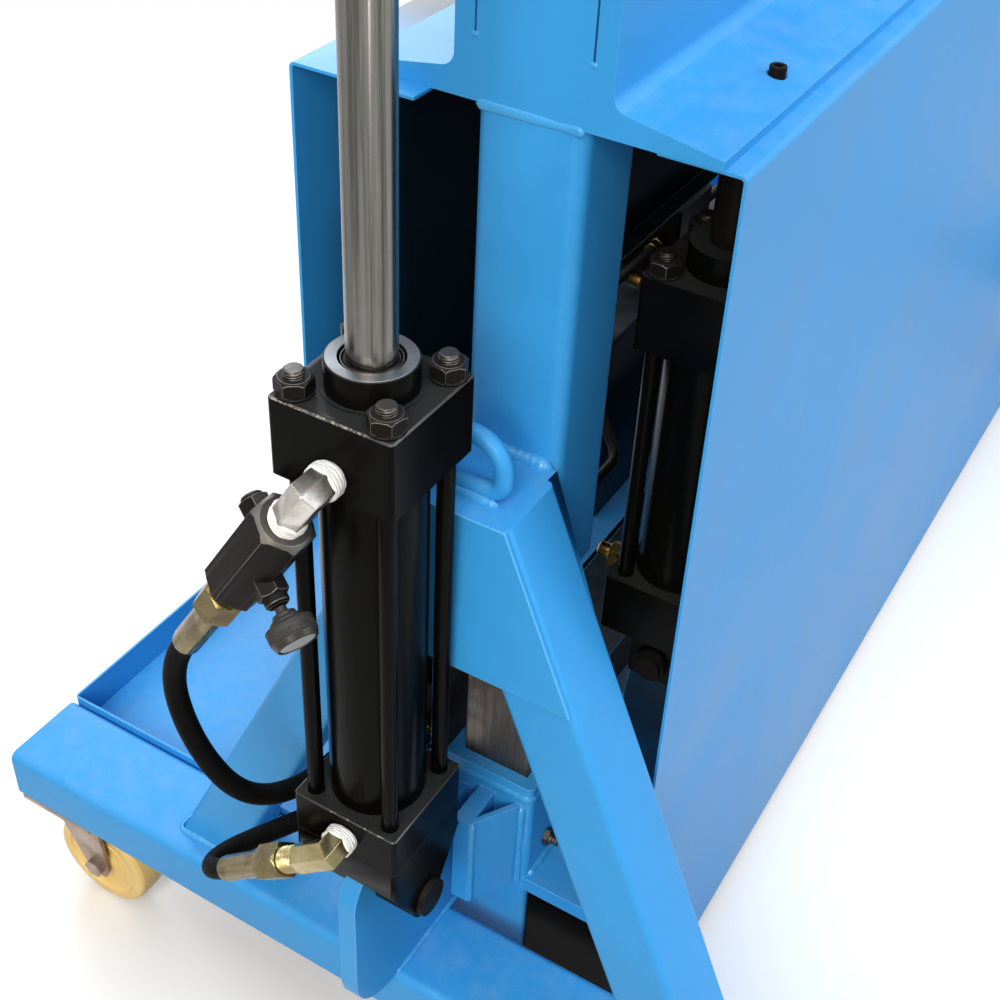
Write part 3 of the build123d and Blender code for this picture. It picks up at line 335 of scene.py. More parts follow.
class Effects:
    """Shared surface effects, each built once as a node group."""

    def __init__(self) -> None:
        """Build every group."""
        self.film = self._film()
        self.flakes = self._flakes()
        self.dust = self._dust()
        self.lines = self._lines()
        self.cloud = self._cloud()

    @staticmethod
    def _open(name: str, inputs: dict[str, float], output: str) -> tuple[NodeSheet, dict[str, Wire], Wire]:
        """New group with a place, numbers as inputs and one value as output.

        Args:
            name: Name of the group.
            inputs: Default of each number.
            output: Name of the output.

        Returns:
            The sheet, its input sockets by name, and the output's socket.
        """
        tree = bpy.data.node_groups.new(name, "ShaderNodeTree")
        tree.interface.new_socket("Vector", in_out="INPUT", socket_type=Socket.VECTOR.value)
        for key, value in inputs.items():
            made = tree.interface.new_socket(key, in_out="INPUT", socket_type=Socket.FLOAT.value)
            made.default_value = value
        tree.interface.new_socket(output, in_out="OUTPUT", socket_type=Socket.FLOAT.value)
        sheet = NodeSheet(tree)
        start = sheet.add("NodeGroupInput")
        given = {key: start.outputs[key] for key in ("Vector", *inputs)}
        return sheet, given, sheet.add("NodeGroupOutput").inputs[output]

    def _film(self) -> bpy.types.NodeTree:
        """Sprayed paint: fine rounded dimples over a slow ripple, as one height.

        Returns:
            The node group.
        """
        sheet, given, end = self._open("sprayed_film", {"Scale": 500.0}, "Height")
        fine = sheet.noise(given["Vector"], given["Scale"], 2.0, 0.5)
        slow = sheet.noise(given["Vector"], sheet.math("MULTIPLY", given["Scale"], 0.06), 2.0)
        sheet.feed(end, sheet.math("MULTIPLY_ADD", slow, 2.0, fine))
        return sheet.tree

    def _flakes(self) -> bpy.types.NodeTree:
        """Small knocked-off flakes: ragged spots where a slow and a fine noise are both high.

        Returns:
            The node group.
        """
        sheet, given, end = self._open("paint_flakes", {"Scale": 60.0, "Amount": 0.3}, "Mask")
        patch = sheet.noise(given["Vector"], sheet.math("MULTIPLY", given["Scale"], 0.18), 3.0)
        ragged = sheet.noise(given["Vector"], sheet.math("MULTIPLY", given["Scale"], 6.0), 6.0, 0.65)
        edge = sheet.math("MULTIPLY_ADD", given["Amount"], -0.22, 0.52)
        both = sheet.math("MULTIPLY", patch, ragged)
        sheet.feed(end, sheet.span(both, edge, sheet.math("ADD", edge, 0.02)))
        return sheet.tree

    def _dust(self) -> bpy.types.NodeTree:
        """Dust that settles on faces that look up, broken by a grainy noise.

        Returns:
            The node group.
        """
        sheet, given, end = self._open("settled_dust", {"Scale": 40.0, "Amount": 0.2}, "Mask")
        split = sheet.add("ShaderNodeSeparateXYZ")
        sheet.feed(split.inputs["Vector"], sheet.add("ShaderNodeNewGeometry").outputs["Normal"])
        up = sheet.span(split.outputs["Z"], 0.35, 0.95)
        grain = sheet.span(sheet.noise(given["Vector"], given["Scale"], 8.0, 0.75), 0.38, 0.7)
        sheet.feed(end, sheet.math("MULTIPLY", sheet.math("MULTIPLY", up, grain), given["Amount"]))
        return sheet.tree

    def _lines(self) -> bpy.types.NodeTree:
        """Grinding and rubbing lines: noise on a place that is stretched across the lines.

        Returns:
            The node group.
        """
        sheet, given, end = self._open("rubbed_lines", {"Scale": 40.0}, "Height")
        sheet.feed(end, sheet.noise(given["Vector"], given["Scale"], 5.0, 0.7))
        return sheet.tree

    def _cloud(self) -> bpy.types.NodeTree:
        """Slow unevenness of tone, from 0 to 1.

        Returns:
            The node group.
        """
        sheet, given, end = self._open("tone_cloud", {"Scale": 5.0}, "Value")
        sheet.feed(end, sheet.span(sheet.noise(given["Vector"], given["Scale"], 5.0, 0.6, 0.6), 0.3, 0.7))
        return sheet.tree


EFFECTS = Effects()


@dataclass(frozen=True)
class Paint:
    """Sprayed paint with an uneven tone, specks, knocked-off flakes and settled dust."""

    name: str
    colour: Colour
    under: Colour
    speck: Colour
    rough: float = 0.36
    gloss: float = 0.5
    flakes: float = 0.06
    specks: float = 0.25
    dust: float = 0.10
    dust_scale: float = 45.0
    shift: float = 0.07
    film: float = 420.0
    depth: float = 0.00005
    cloud_scale: float = 4.5
    flake_scale: float = 70.0
    speck_scale: float = 330.0
    rub_scale: float = 90.0
    rub_grain: Point = (1.0, 1.0, 0.12)

    def material(self) -> Finish:
        """Build the finish.

        Returns:
            The material.
        """
        made = bpy.data.materials.new(self.name)
        made.use_nodes = True
        sheet = NodeSheet(made.node_tree)
        place = sheet.coords()
        cloud = sheet.group(EFFECTS.cloud, Vector=place, Scale=self.cloud_scale).outputs["Value"]
        wear = ((EFFECTS.flakes, self.flake_scale, self.flakes),
                (EFFECTS.flakes, self.speck_scale, self.specks),
                (EFFECTS.dust, self.dust_scale, self.dust))
        flakes, specks, dust = (sheet.group(kind, Vector=place, Scale=scale, Amount=amount).outputs["Mask"]
                                for kind, scale, amount in wear)
        film = sheet.group(EFFECTS.film, Vector=place, Scale=self.film).outputs["Height"]
        rubbed = sheet.group(EFFECTS.lines, Vector=sheet.coords(self.rub_grain),
                             Scale=self.rub_scale).outputs["Height"]
        colour = self.tone(sheet, place, cloud)
        colour = sheet.blend(sheet.math("MULTIPLY", specks, 0.5), colour, self.speck)
        colour = sheet.blend(dust, colour, DUST_GREY)
        colour = sheet.blend(flakes, colour, self.under)
        rough = sheet.math("MULTIPLY_ADD", cloud, 0.08, self.rough - 0.08)
        rough = sheet.math("MULTIPLY_ADD", rubbed, 0.03, rough)
        rough = sheet.math("MULTIPLY_ADD", dust, 0.5, rough)
        rough = sheet.math("MULTIPLY_ADD", flakes, 0.2, rough, clamp=True)
        height = sheet.math("MULTIPLY_ADD", flakes, -1.6, film)
        sheet.surface(Base_Color=colour, Roughness=rough, Normal=sheet.bump(height, 0.5, self.depth),
                      Specular_IOR_Level=self.gloss)
        return made

    def tone(self, sheet: NodeSheet, place: Wire, cloud: Wire) -> Wire:
        """Colour of the paint before specks and dust.

        Args:
            sheet: Sheet of the material.
            place: Object coordinates.
            cloud: Slow unevenness.

        Returns:
            The colour socket.
        """
        deep = tuple(v * (1.0 - self.shift) for v in self.colour)
        light = tuple(min(1.0, v * (1.0 + self.shift)) for v in self.colour)
        return sheet.blend(cloud, deep, light)


@dataclass(frozen=True)
class PaintedShadeInside(Paint):
    """Painted shade inside the covers: full blue at their open ends, fading towards the middle to a
    near-black shade colour.
    """

    # painted shade: this near-black colour stands for the shadow deep inside the covers
    shade_colour: Colour = (0.003, 0.013, 0.024)
    shade_darkest_until: float = 0.55
    shade_clear_from: float = 0.66
    ragged: float = 0.03

    def tone(self, sheet: NodeSheet, place: Wire, cloud: Wire) -> Wire:
        """Blue over the painted shade colour by the distance from the middle of the bed, with a ragged
        edge.

        Args:
            sheet: Sheet of the material.
            place: Object coordinates.
            cloud: Slow unevenness.

        Returns:
            The colour socket.
        """
        split = sheet.add("ShaderNodeSeparateXYZ")
        sheet.feed(split.inputs["Vector"], place)
        reach = sheet.math("ABSOLUTE", split.outputs["X"])
        ragged = sheet.math("MULTIPLY_ADD", cloud, self.ragged, reach)
        return sheet.blend(sheet.span(ragged, self.shade_darkest_until, self.shade_clear_from), self.shade_colour,
                           super().tone(sheet, place, cloud))


@dataclass(frozen=True)
class Metal:
    """Bare or plated metal with tool marks along one axis, tone streaks and stains."""

    name: str
    colour: Colour
    stain: Colour
    rough: float = 0.3
    grain: tuple[float, float, float] = (1.0, 1.0, 1.0)
    grain_scale: float = 160.0
    streak: float = 0.0
    stained: float = 0.4
    depth: float = 0.00004
    stain_scale: float = 30.0

    def material(self) -> Finish:
        """Build the finish.

        Returns:
            The material.
        """
        made = bpy.data.materials.new(self.name)
        made.use_nodes = True
        sheet = NodeSheet(made.node_tree)
        place = sheet.coords()
        line = sheet.group(EFFECTS.lines, Vector=sheet.coords(self.grain),
                           Scale=self.grain_scale).outputs["Height"]
        cloud = sheet.group(EFFECTS.cloud, Vector=place, Scale=self.stain_scale).outputs["Value"]
        spots = sheet.group(EFFECTS.flakes, Vector=place, Scale=self.stain_scale * 3.0,
                            Amount=self.stained * 0.6).outputs["Mask"]
        veil = sheet.math("MULTIPLY", cloud, self.stained)
        colour = sheet.blend(veil, self.colour, self.stain)
        drawn = sheet.math("MULTIPLY", sheet.span(line, 0.38, 0.62), self.streak)
        colour = sheet.blend(drawn, colour, tuple(v * 0.5 for v in self.stain))
        colour = sheet.blend(sheet.math("MULTIPLY", spots, 0.6), colour,
                             tuple(v * 0.45 for v in self.stain))
        rough = sheet.math("MULTIPLY_ADD", line, 0.22, self.rough - 0.11)
        rough = sheet.math("MULTIPLY_ADD", veil, 0.2, rough, clamp=True)
        sheet.surface(Base_Color=colour, Metallic=1.0, Roughness=rough,
                      Normal=sheet.bump(line, 0.5, self.depth))
        return made


@dataclass(frozen=True)
class Moulding:
    """Rubber, plastic or tape with a fine tooth and rubbed patches."""

    name: str
    colour: Colour
    rub: Colour
    rough: float = 0.5
    tooth: float = 900.0
    depth: float = 0.00005
    rubbed: float = 0.3
    gloss: float = 0.4
    dust: float = 0.15
    bleed: float = 0.0
    bleed_radius: Point = (0.004, 0.003, 0.001)
    cloud_scale: float = 28.0
    dust_scale: float = 120.0

    def material(self) -> Finish:
        """Build the finish.

        Returns:
            The material.
        """
        made = bpy.data.materials.new(self.name)
        made.use_nodes = True
        sheet = NodeSheet(made.node_tree)
        place = sheet.coords()
        cloud = sheet.group(EFFECTS.cloud, Vector=place, Scale=self.cloud_scale).outputs["Value"]
        dust = sheet.group(EFFECTS.dust, Vector=place, Scale=self.dust_scale,
                           Amount=self.dust).outputs["Mask"]
        tooth = sheet.noise(place, self.tooth, 3.0)
        colour = sheet.blend(sheet.math("MULTIPLY", cloud, self.rubbed), self.colour, self.rub)
        colour = sheet.blend(dust, colour, DUST_BROWN)
        rough = sheet.math("MULTIPLY_ADD", cloud, 0.16, self.rough - 0.08, clamp=True)
        sheet.surface(Base_Color=colour, Roughness=rough, Normal=sheet.bump(tooth, 0.5, self.depth),
                      Specular_IOR_Level=self.gloss, Subsurface_Weight=self.bleed,
                      Subsurface_Radius=self.bleed_radius)
        return made


class Finishes:
    """Every finish of the machine, made once."""

    def __init__(self) -> None:
        """Make the materials."""
        pale = srgb(150, 190, 222)
        rust = srgb(92, 74, 56)
        self.blue = Paint("blue_paint", srgb(50, 147, 214), srgb(150, 175, 190), pale, rough=0.46,
                          gloss=0.3).material()
        self.blue_edge = Paint("blue_paint_edge", srgb(80, 166, 226), srgb(190, 202, 210), pale,
                               flakes=0.5).material()
        # Painted shade: this finish darkens faces in the hollow under the bed towards near-black, standing
        # for the shadow there.
        self.inside = PaintedShadeInside("inside_painted_shade", srgb(50, 147, 214), srgb(40, 44, 48), srgb(30, 60, 80),
                                gloss=0.2, dust=0.04).material()
        self.weld = Paint("blue_paint_weld", srgb(54, 152, 215), srgb(150, 175, 190), pale, rough=0.32,
                          film=900.0, depth=0.00012).material()
        # The very fine dust on the black paint's upward faces is dust and a painted sheen: an even pale
        # haze standing in for the top faces' reflection.
        self.black = Paint("black_paint", srgb(9, 9, 8), srgb(54, 48, 42), rust, rough=0.24, gloss=0.04,
                           flakes=0.05, specks=0.2, dust=0.12, dust_scale=2600.0, shift=0.3,
                           depth=0.00003).material()
        # Lighter chamfers and rounded edges of the black blocks: worn paint and a painted highlight along
        # the edges.
        self.black_edge_highlight_and_wear = Paint("black_paint_edge_highlight_and_wear", srgb(60, 57, 54), srgb(150, 142, 132), rust, rough=0.26,
                                gloss=0.3, flakes=0.9, dust=0.06, shift=0.3).material()
        self.tank = Paint("tank_paint", srgb(36, 40, 44), srgb(90, 92, 94), srgb(70, 72, 74), gloss=0.3,
                          dust=0.06).material()
        self.oxide = Paint("black_oxide", srgb(23, 20, 17), srgb(96, 91, 84), rust, rough=0.34, gloss=0.035,
                           flakes=0.12, specks=0.2, dust=0.05, dust_scale=2600.0, shift=0.3,
                           film=1600.0).material()
        self.knob = Paint("knob_oxide", srgb(42, 40, 38), srgb(120, 115, 108), rust, rough=0.3, gloss=0.22,
                          flakes=0.12, specks=0.2, dust=0.05, dust_scale=2600.0, shift=0.3,
                          film=1600.0).material()
        self.tip = Metal("rod_tip", srgb(104, 100, 95), srgb(52, 48, 43), rough=0.4, stained=0.7,
                         grain_scale=300.0).material()
        self.collar = Metal("gland_face", srgb(150, 153, 156), srgb(76, 68, 60), rough=0.34, stained=0.5,
                            grain_scale=300.0, stain_scale=24.0).material()
        self.worn = Metal("worn_black_oxide", srgb(118, 114, 110), srgb(56, 53, 50), rough=0.38,
                          stained=0.6, grain_scale=300.0).material()
        # The dark streaks along the rods are marks along them and painted reflection bands.
        self.chrome = Metal("chromed_rod", srgb(138, 136, 131), srgb(92, 89, 84), rough=0.24,
                            grain=(16.0, 16.0, 0.25), grain_scale=9.0, streak=0.8, stained=0.35,
                            depth=0.00001, stain_scale=7.0).material()
        self.bare = Metal("bare_bar", srgb(128, 118, 108), srgb(84, 72, 60), rough=0.42, streak=0.4,
                          grain=(24.0, 24.0, 1.0), grain_scale=14.0, stained=0.7).material()
        self.tool = Metal("tool_steel", srgb(112, 112, 114), srgb(70, 68, 66), rough=0.32, streak=0.2,
                          grain=(0.6, 9.0, 9.0), grain_scale=60.0, stained=0.35).material()
        self.plate = Metal("machined_plate", srgb(132, 127, 121), srgb(92, 86, 80), rough=0.36, streak=0.2,
                           grain=(0.8, 7.0, 7.0), grain_scale=70.0, stained=0.4).material()
        self.zinc = Metal("yellow_zinc", srgb(122, 109, 72), srgb(78, 63, 34), rough=0.2,
                          grain_scale=220.0, stained=0.7, stain_scale=50.0).material()
        self.fork = Metal("castor_steel", srgb(170, 154, 142), srgb(122, 98, 82), rough=0.4,
                          grain_scale=200.0, stained=0.6).material()
        self.elbow = Metal("plated_elbow", srgb(206, 203, 197), srgb(112, 95, 66), rough=0.22,
                           grain_scale=180.0, stained=0.7, stain_scale=45.0).material()
        self.brass = Metal("brass", srgb(196, 158, 84), srgb(124, 88, 38), rough=0.24,
                           grain_scale=200.0).material()
        self.gold = Metal("gold_zinc", srgb(182, 168, 124), srgb(112, 94, 52), rough=0.2, grain_scale=200.0,
                          stained=0.6, stain_scale=50.0).material()
        self.hose = Moulding("hose_rubber", srgb(13, 13, 13), srgb(22, 21, 21), rough=0.46, gloss=0.02,
                             tooth=1400.0, depth=0.00008, dust=0.012).material()
        self.nylon = Moulding("castor_nylon", srgb(238, 206, 132), srgb(212, 176, 104), rough=0.40,
                              tooth=500.0, dust=0.08, bleed=0.15).material()
        self.tape = Moulding("seal_tape", srgb(236, 235, 233), srgb(206, 204, 200), rough=0.6,
                             tooth=1200.0, depth=0.0002, dust=0.05).material()
        self.seal = Moulding("rod_seal", srgb(18, 18, 19), srgb(34, 32, 30), rough=0.45).material()
        self.face = Metal("knob_face", srgb(214, 212, 208), srgb(160, 158, 152), rough=0.42,
                          grain_scale=400.0, stained=0.3).material()
        self.grey = Paint("grey_enamel", srgb(150, 152, 154), srgb(90, 90, 90), srgb(110, 108, 104),
                          rough=0.42).material()
        self.green = Moulding("green_cap", srgb(28, 150, 62), srgb(20, 110, 46), rough=0.3).material()
        self.red = Moulding("red_cap", srgb(200, 26, 22), srgb(150, 18, 16), rough=0.3).material()
        self.yellow = Moulding("yellow_ring", srgb(236, 190, 30), srgb(190, 146, 20), rough=0.35).material()
        self.dark = Moulding("dark_moulding", srgb(30, 30, 32), srgb(50, 49, 48), rough=0.42).material()
        self.glass = Moulding("sight_glass", srgb(196, 150, 40), srgb(150, 104, 20), rough=0.14,
                              tooth=60.0, gloss=0.6).material()


FINISH = Finishes()


def unit(vector: Sequence[float]) -> Array:
    """Vector of length one."""
    given = np.asarray(vector, float)
    return given / np.linalg.norm(given)


@dataclass(frozen=True)
class Axle:
    """Straight axis in millimetres, with two directions square to it."""

    origin: Array
    along: Array
    first: Array
    second: Array

    @classmethod
    def of(cls, origin: Sequence[float], along: Sequence[float],
           hint: Sequence[float] = (1.0, 0.0, 0.0)) -> "Axle":
        """Axis from a point and a direction.

        Args:
            origin: Point on the axis.
            along: Direction.
            hint: Rough first cross direction.

        Returns:
            The axis.
        """
        line = unit(along)
        guess = np.asarray(hint, float)
        if abs(np.dot(unit(guess), line)) > 0.95:
            guess = np.array((0.0, 1.0, 0.0))
        first = unit(guess - line * np.dot(guess, line))
        return cls(np.asarray(origin, float), line, first, np.cross(line, first))

    def at(self, distance: float) -> "Axle":
        """The same axis started further along."""
        return Axle(self.origin + self.along * distance, self.along, self.first, self.second)

    def ring(self, radius: Array, turn: Array, along: Array) -> Array:
        """Points in metres: origin + along * distance + radius * (cos turn, sin turn).

        Args:
            radius: Distances from the axis.
            turn: Angles round it.
            along: Distances along it.

        Returns:
            The points, with their three coordinates last.
        """
        return MM * (self.origin + along[..., None] * self.along
                     + (radius * np.cos(turn))[..., None] * self.first
                     + (radius * np.sin(turn))[..., None] * self.second)


class Skin:
    """Grid surfaces made into finished objects."""

    @staticmethod
    def faces(rows: int, columns: int, loop: bool) -> Array:
        """Quads of a grid.

        Args:
            rows: Its rows.
            columns: Its columns.
            loop: Whether the last column joins the first.

        Returns:
            Four point numbers for each quad.
        """
        index = np.arange(rows * columns).reshape(rows, columns)
        right = np.roll(index, -1, axis=1) if loop else index[:, 1:]
        left = index if loop else index[:, :-1]
        return np.stack((left[:-1], right[:-1], right[1:], left[1:]), axis=-1).reshape(-1, 4)

    @classmethod
    def mesh(cls, name: str, grids: Sequence[Grid], crease: float = 24.0) -> bpy.types.Mesh:
        """Mesh of one or more grids with merged poles and outward faces.

        Args:
            name: Name of the mesh.
            grids: Points as rows by columns by 3, with a flag for a closed column loop.
            crease: Angle in degrees past which an edge stays sharp.

        Returns:
            The mesh.
        """
        sizes = [grid.shape[0] * grid.shape[1] for grid, _ in grids]
        starts = np.concatenate(([0], np.cumsum(sizes)[:-1]))
        spots = np.concatenate([grid.reshape(-1, 3) for grid, _ in grids]).astype(np.float32)
        corners = np.concatenate([cls.faces(*grid.shape[:2], loop) + first
                                  for (grid, loop), first in zip(grids, starts)]).astype(np.int32)
        mesh = bpy.data.meshes.new(name)
        mesh.vertices.add(len(spots))
        mesh.vertices.foreach_set("co", spots.ravel())
        mesh.loops.add(corners.size)
        mesh.loops.foreach_set("vertex_index", corners.ravel())
        mesh.polygons.add(len(corners))
        mesh.polygons.foreach_set("loop_start", np.arange(len(corners), dtype=np.int32) * 4)
        mesh.update(calc_edges=True)
        cls.merge(mesh, crease)
        return mesh

    @staticmethod
    def merge(mesh: bpy.types.Mesh, crease: float, flat: bool = False) -> None:
        """Join doubles, drop empty faces, turn faces outward and mark sharp edges.

        Args:
            mesh: Mesh to clean.
            crease: Angle in degrees past which an edge stays sharp.
            flat: Keep the faces' sides and join triangles that lie in one plane.
        """
        work = bmesh.new()
        work.from_mesh(mesh)
        bmesh.ops.remove_doubles(work, verts=work.verts, dist=2e-6)
        bmesh.ops.dissolve_degenerate(work, edges=work.edges, dist=2e-6)
        if flat:
            bmesh.ops.dissolve_limit(work, angle_limit=math.radians(0.4), verts=work.verts,
                                     edges=work.edges)
        else:
            bmesh.ops.recalc_face_normals(work, faces=work.faces)
        work.to_mesh(mesh)
        work.free()
        mesh.shade_smooth()
        mesh.set_sharp_from_angle(angle=math.radians(crease))

    @staticmethod
    def place(mesh: bpy.types.Mesh, body: str, finish: Finish, slot: Slot, *nodes: str) -> Piece:
        """Object that rides a body, takes a finish and may stand for CAD nodes.

        Args:
            mesh: Finished mesh, in place.
            body: Body it rides on.
            finish: Material.
            slot: Material slot of the record; not used.
            *nodes: CAD nodes that it stands for.

        Returns:
            The object.
        """
        piece = bpy.data.objects.new(mesh.name, mesh)
        bpy.context.scene.collection.objects.link(piece)
        if not mesh.materials:
            mesh.materials.append(finish)
        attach(piece, body)
        if nodes:
            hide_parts(*nodes)
        LOG.info("piece %s on %s", mesh.name, body)
        return piece

    @classmethod
    def piece(cls, name: str, grids: Sequence[Grid], finish: Finish, slot: Slot, *nodes: str,
              body: str = Body.FRAME.value, crease: float = 24.0,
              edge: Optional[Finish] = None, width: float = 0.4) -> Piece:
        """Mesh and object in one step.

        Args:
            name: Name of the piece.
            grids: Its surfaces.
            finish: Material.
            slot: Material slot of the record.
            *nodes: CAD nodes that it stands for.
            body: Body it rides on.
            crease: Angle in degrees past which an edge stays sharp.
            edge: Material of edges that are rounded and rubbed, or none to leave them sharp.
            width: Width of that rounding in millimetres.

        Returns:
            The object.
        """
        piece = cls.place(cls.mesh(name, grids, crease), body, finish, slot, *nodes)
        if edge is not None:
            piece.data.materials.append(edge)
            cls.round_edges(piece, width, 1)
        return piece

    @staticmethod
    def round_edges(piece: Piece, width: float, layer: int = -1) -> None:
        """Round the sharp edges of a piece.

        Args:
            piece: The object.
            width: Width of the rounding in millimetres.
            layer: Material index of the rounded strips, or -1 for their neighbours'.
        """
        bevel = piece.modifiers.new("soft_edges", "BEVEL")
        bevel.width = width * MM
        bevel.segments = 2
        bevel.limit_method = "ANGLE"
        bevel.angle_limit = math.radians(32.0)
        bevel.material = layer
        bevel.harden_normals = True


class CadCopy:
    """Merged copies of CAD nodes that take a finish, with or without rounded edges."""

    @staticmethod
    def polish(node: str, slot: Slot, finish: Finish, edge: Optional[Finish] = None) -> Piece:
        """Copy a node, join its triangles and give it a finish.

        Args:
            node: CAD node.
            slot: Material slot of the record.
            finish: Material of its faces.
            edge: Second material, for rounded edges.

        Returns:
            The piece that stands for the node.
        """
        source = frame["nodes"][node]
        mesh = source.data.copy()
        mesh.name = f"{node}_dressed"
        mesh.materials.clear()
        mesh.materials.append(finish)
        if edge is not None:
            mesh.materials.append(edge)
        mesh.polygons.foreach_set("material_index", np.zeros(len(mesh.polygons), np.int32))
        Skin.merge(mesh, SHARP_ANGLE, flat=True)
        return Skin.place(mesh, source["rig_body"], finish, slot, node)

    @classmethod
    def soften(cls, node: str, slot: Slot, finish: Finish, width: float = 0.8,
               edge: Optional[Finish] = None) -> Piece:
        """Polished copy with rounded edges.

        Args:
            node: CAD node.
            slot: Material slot of the record.
            finish: Material of its faces.
            width: Width of the rounding in millimetres.
            edge: Material of the rounded edges, or none for the same.

        Returns:
            The piece that stands for the node.
        """
        piece = cls.polish(node, slot, finish, edge)
        Skin.round_edges(piece, width, 1 if edge is not None else -1)
        return piece

    @staticmethod
    def round_corners(piece: Piece, width: float, shortest: float, low: Sequence[float],
                      high: Sequence[float], layer: int = -1,
                      turn: Pair = (60.0, 120.0)) -> None:
        """Round the long straight edges of a copy inside a box, as arcs of eight steps.

        Args:
            piece: The object.
            width: Distance from each edge to where its arc starts, in millimetres.
            shortest: Least length of an edge.
            low: Lowest corner of the box.
            high: Highest corner.
            layer: Material index of the arcs, or -1 for their neighbours'.
            turn: Least and greatest angle in degrees between the two faces' directions.
        """
        work = bmesh.new()
        work.from_mesh(piece.data)
        least, most = (math.radians(value) for value in turn)
        box = np.array((low, high), float) * MM
        chosen = []
        for edge in work.edges:
            ends = np.array([corner.co for corner in edge.verts])
            inside = np.all((ends >= box[0]) & (ends <= box[1]))
            if inside and edge.calc_length() > shortest * MM and least < edge.calc_face_angle(0.0) < most:
                chosen.append(edge)
        bmesh.ops.bevel(work, geom=chosen, offset=width * MM, segments=8, profile=0.5, affect="EDGES",
                        material=layer, clamp_overlap=True)
        work.to_mesh(piece.data)
        work.free()
        piece.data.shade_smooth()
        piece.data.set_sharp_from_angle(angle=math.radians(24.0))

    @staticmethod
    def looks(mesh: bpy.types.Mesh) -> tuple[Array, Array]:
        """Where the faces of a mesh are and how they look.

        Args:
            mesh: The mesh.

        Returns:
            Middle in millimetres and direction of every face.
        """
        count = len(mesh.polygons)
        middle, normal = np.empty(3 * count, np.float32), np.empty(3 * count, np.float32)
        mesh.polygons.foreach_get("center", middle)
        mesh.polygons.foreach_get("normal", normal)
        return middle.reshape(-1, 3) / MM, normal.reshape(-1, 3)

    @classmethod
    def rub(cls, piece: Piece, layer: int) -> None:
        """Give another of its finishes to the chamfers of a block: faces that slant at about 45 degrees;
        with the lighter edge finish this is worn paint and a painted highlight.

        Args:
            piece: The object.
            layer: Index of that finish.
        """
        _, normal = cls.looks(piece.data)
        slant = (np.abs(normal[:, 2]) > 0.6) & (np.abs(normal[:, 2]) < 0.8)
        piece.data.polygons.foreach_set("material_index", np.where(slant, layer, 0).astype(np.int32))

    @classmethod
    def repaint(cls, piece: Piece, finish: Finish, facing: Sequence[float],
                low: Sequence[float], high: Sequence[float]) -> None:
        """Give another finish to the faces of a piece that look one way inside a box.

        Args:
            piece: The object.
            finish: Material.
            facing: Direction that the faces look in.
            low: Lowest corner of the box in millimetres.
            high: Highest corner.
        """
        mesh = piece.data
        middle, normal = cls.looks(mesh)
        chosen = np.all((middle >= low) & (middle <= high), axis=1)
        chosen &= normal @ np.asarray(facing, np.float32) > 0.6
        layer = np.empty(len(normal), np.int32)
        mesh.polygons.foreach_get("material_index", layer)
        if finish.name not in mesh.materials:
            mesh.materials.append(finish)
        layer[chosen] = mesh.materials.find(finish.name)
        mesh.polygons.foreach_set("material_index", layer)
        mesh.update()


def round_outline(turn: Array) -> Array:
    """Radius factor of a circle: one all round."""
    return np.ones_like(turn)


def hex_outline(turn: Array) -> Array:
    """Radius factor of a hexagon over its half flats: one over cosine of the angle from the flat."""
    part = TURN / 6.0
    return 1.0 / np.cos((turn + part / 2.0) % part - part / 2.0)


def crimp_outline(turn: Array) -> Array:
    """Radius factor of a crimped sleeve: eight soft flats, the absolute cosine of four times the turn."""
    return 1.0 - 0.06 * (1.0 - np.abs(np.cos(4.0 * turn)))


def fin_outline(turn: Array) -> Array:
    """Radius factor of cooling fins: a steep wave of thirty-two crests round the turn."""
    return 1.0 - 0.045 * (0.5 - 0.5 * np.tanh(4.0 * np.cos(32.0 * turn)))


@dataclass(frozen=True)
class Turned:
    """Profile of a turned part in millimetres: distance along the axis, radius, share of the outline."""

    rows: Sequence[Sequence[float]]
    steps: int = 48


@dataclass(frozen=True)
class Hex:
    """Sizes of a hexagon nut or head in millimetres; the cuts are its end radii over the half flats."""

    start: float
    height: float
    flats: float
    bore: float = 0.0
    cut: Pair = (0.95, 0.95)


def lathe(axle: Axle, shape: Turned, outline: Outline = round_outline) -> Grid:
    """Surface of a profile turned about an axis: radius times the outline's factor.

    Args:
        axle: Axis.
        shape: Profile and steps round the axis; without a share the outline has its full effect.
        outline: Radius factor over the turn.

    Returns:
        The grid and its closed flag.
    """
    rows = np.asarray(shape.rows, float)
    turn = np.linspace(0.0, TURN, shape.steps, endpoint=False)
    share = rows[:, 2:3] if rows.shape[1] > 2 else np.ones((len(rows), 1))
    radius = rows[:, 1:2] * (1.0 + share * (outline(turn)[None, :] - 1.0))
    along = np.repeat(rows[:, :1], shape.steps, axis=1)
    return axle.ring(radius, np.repeat(turn[None, :], len(rows), axis=0), along), True


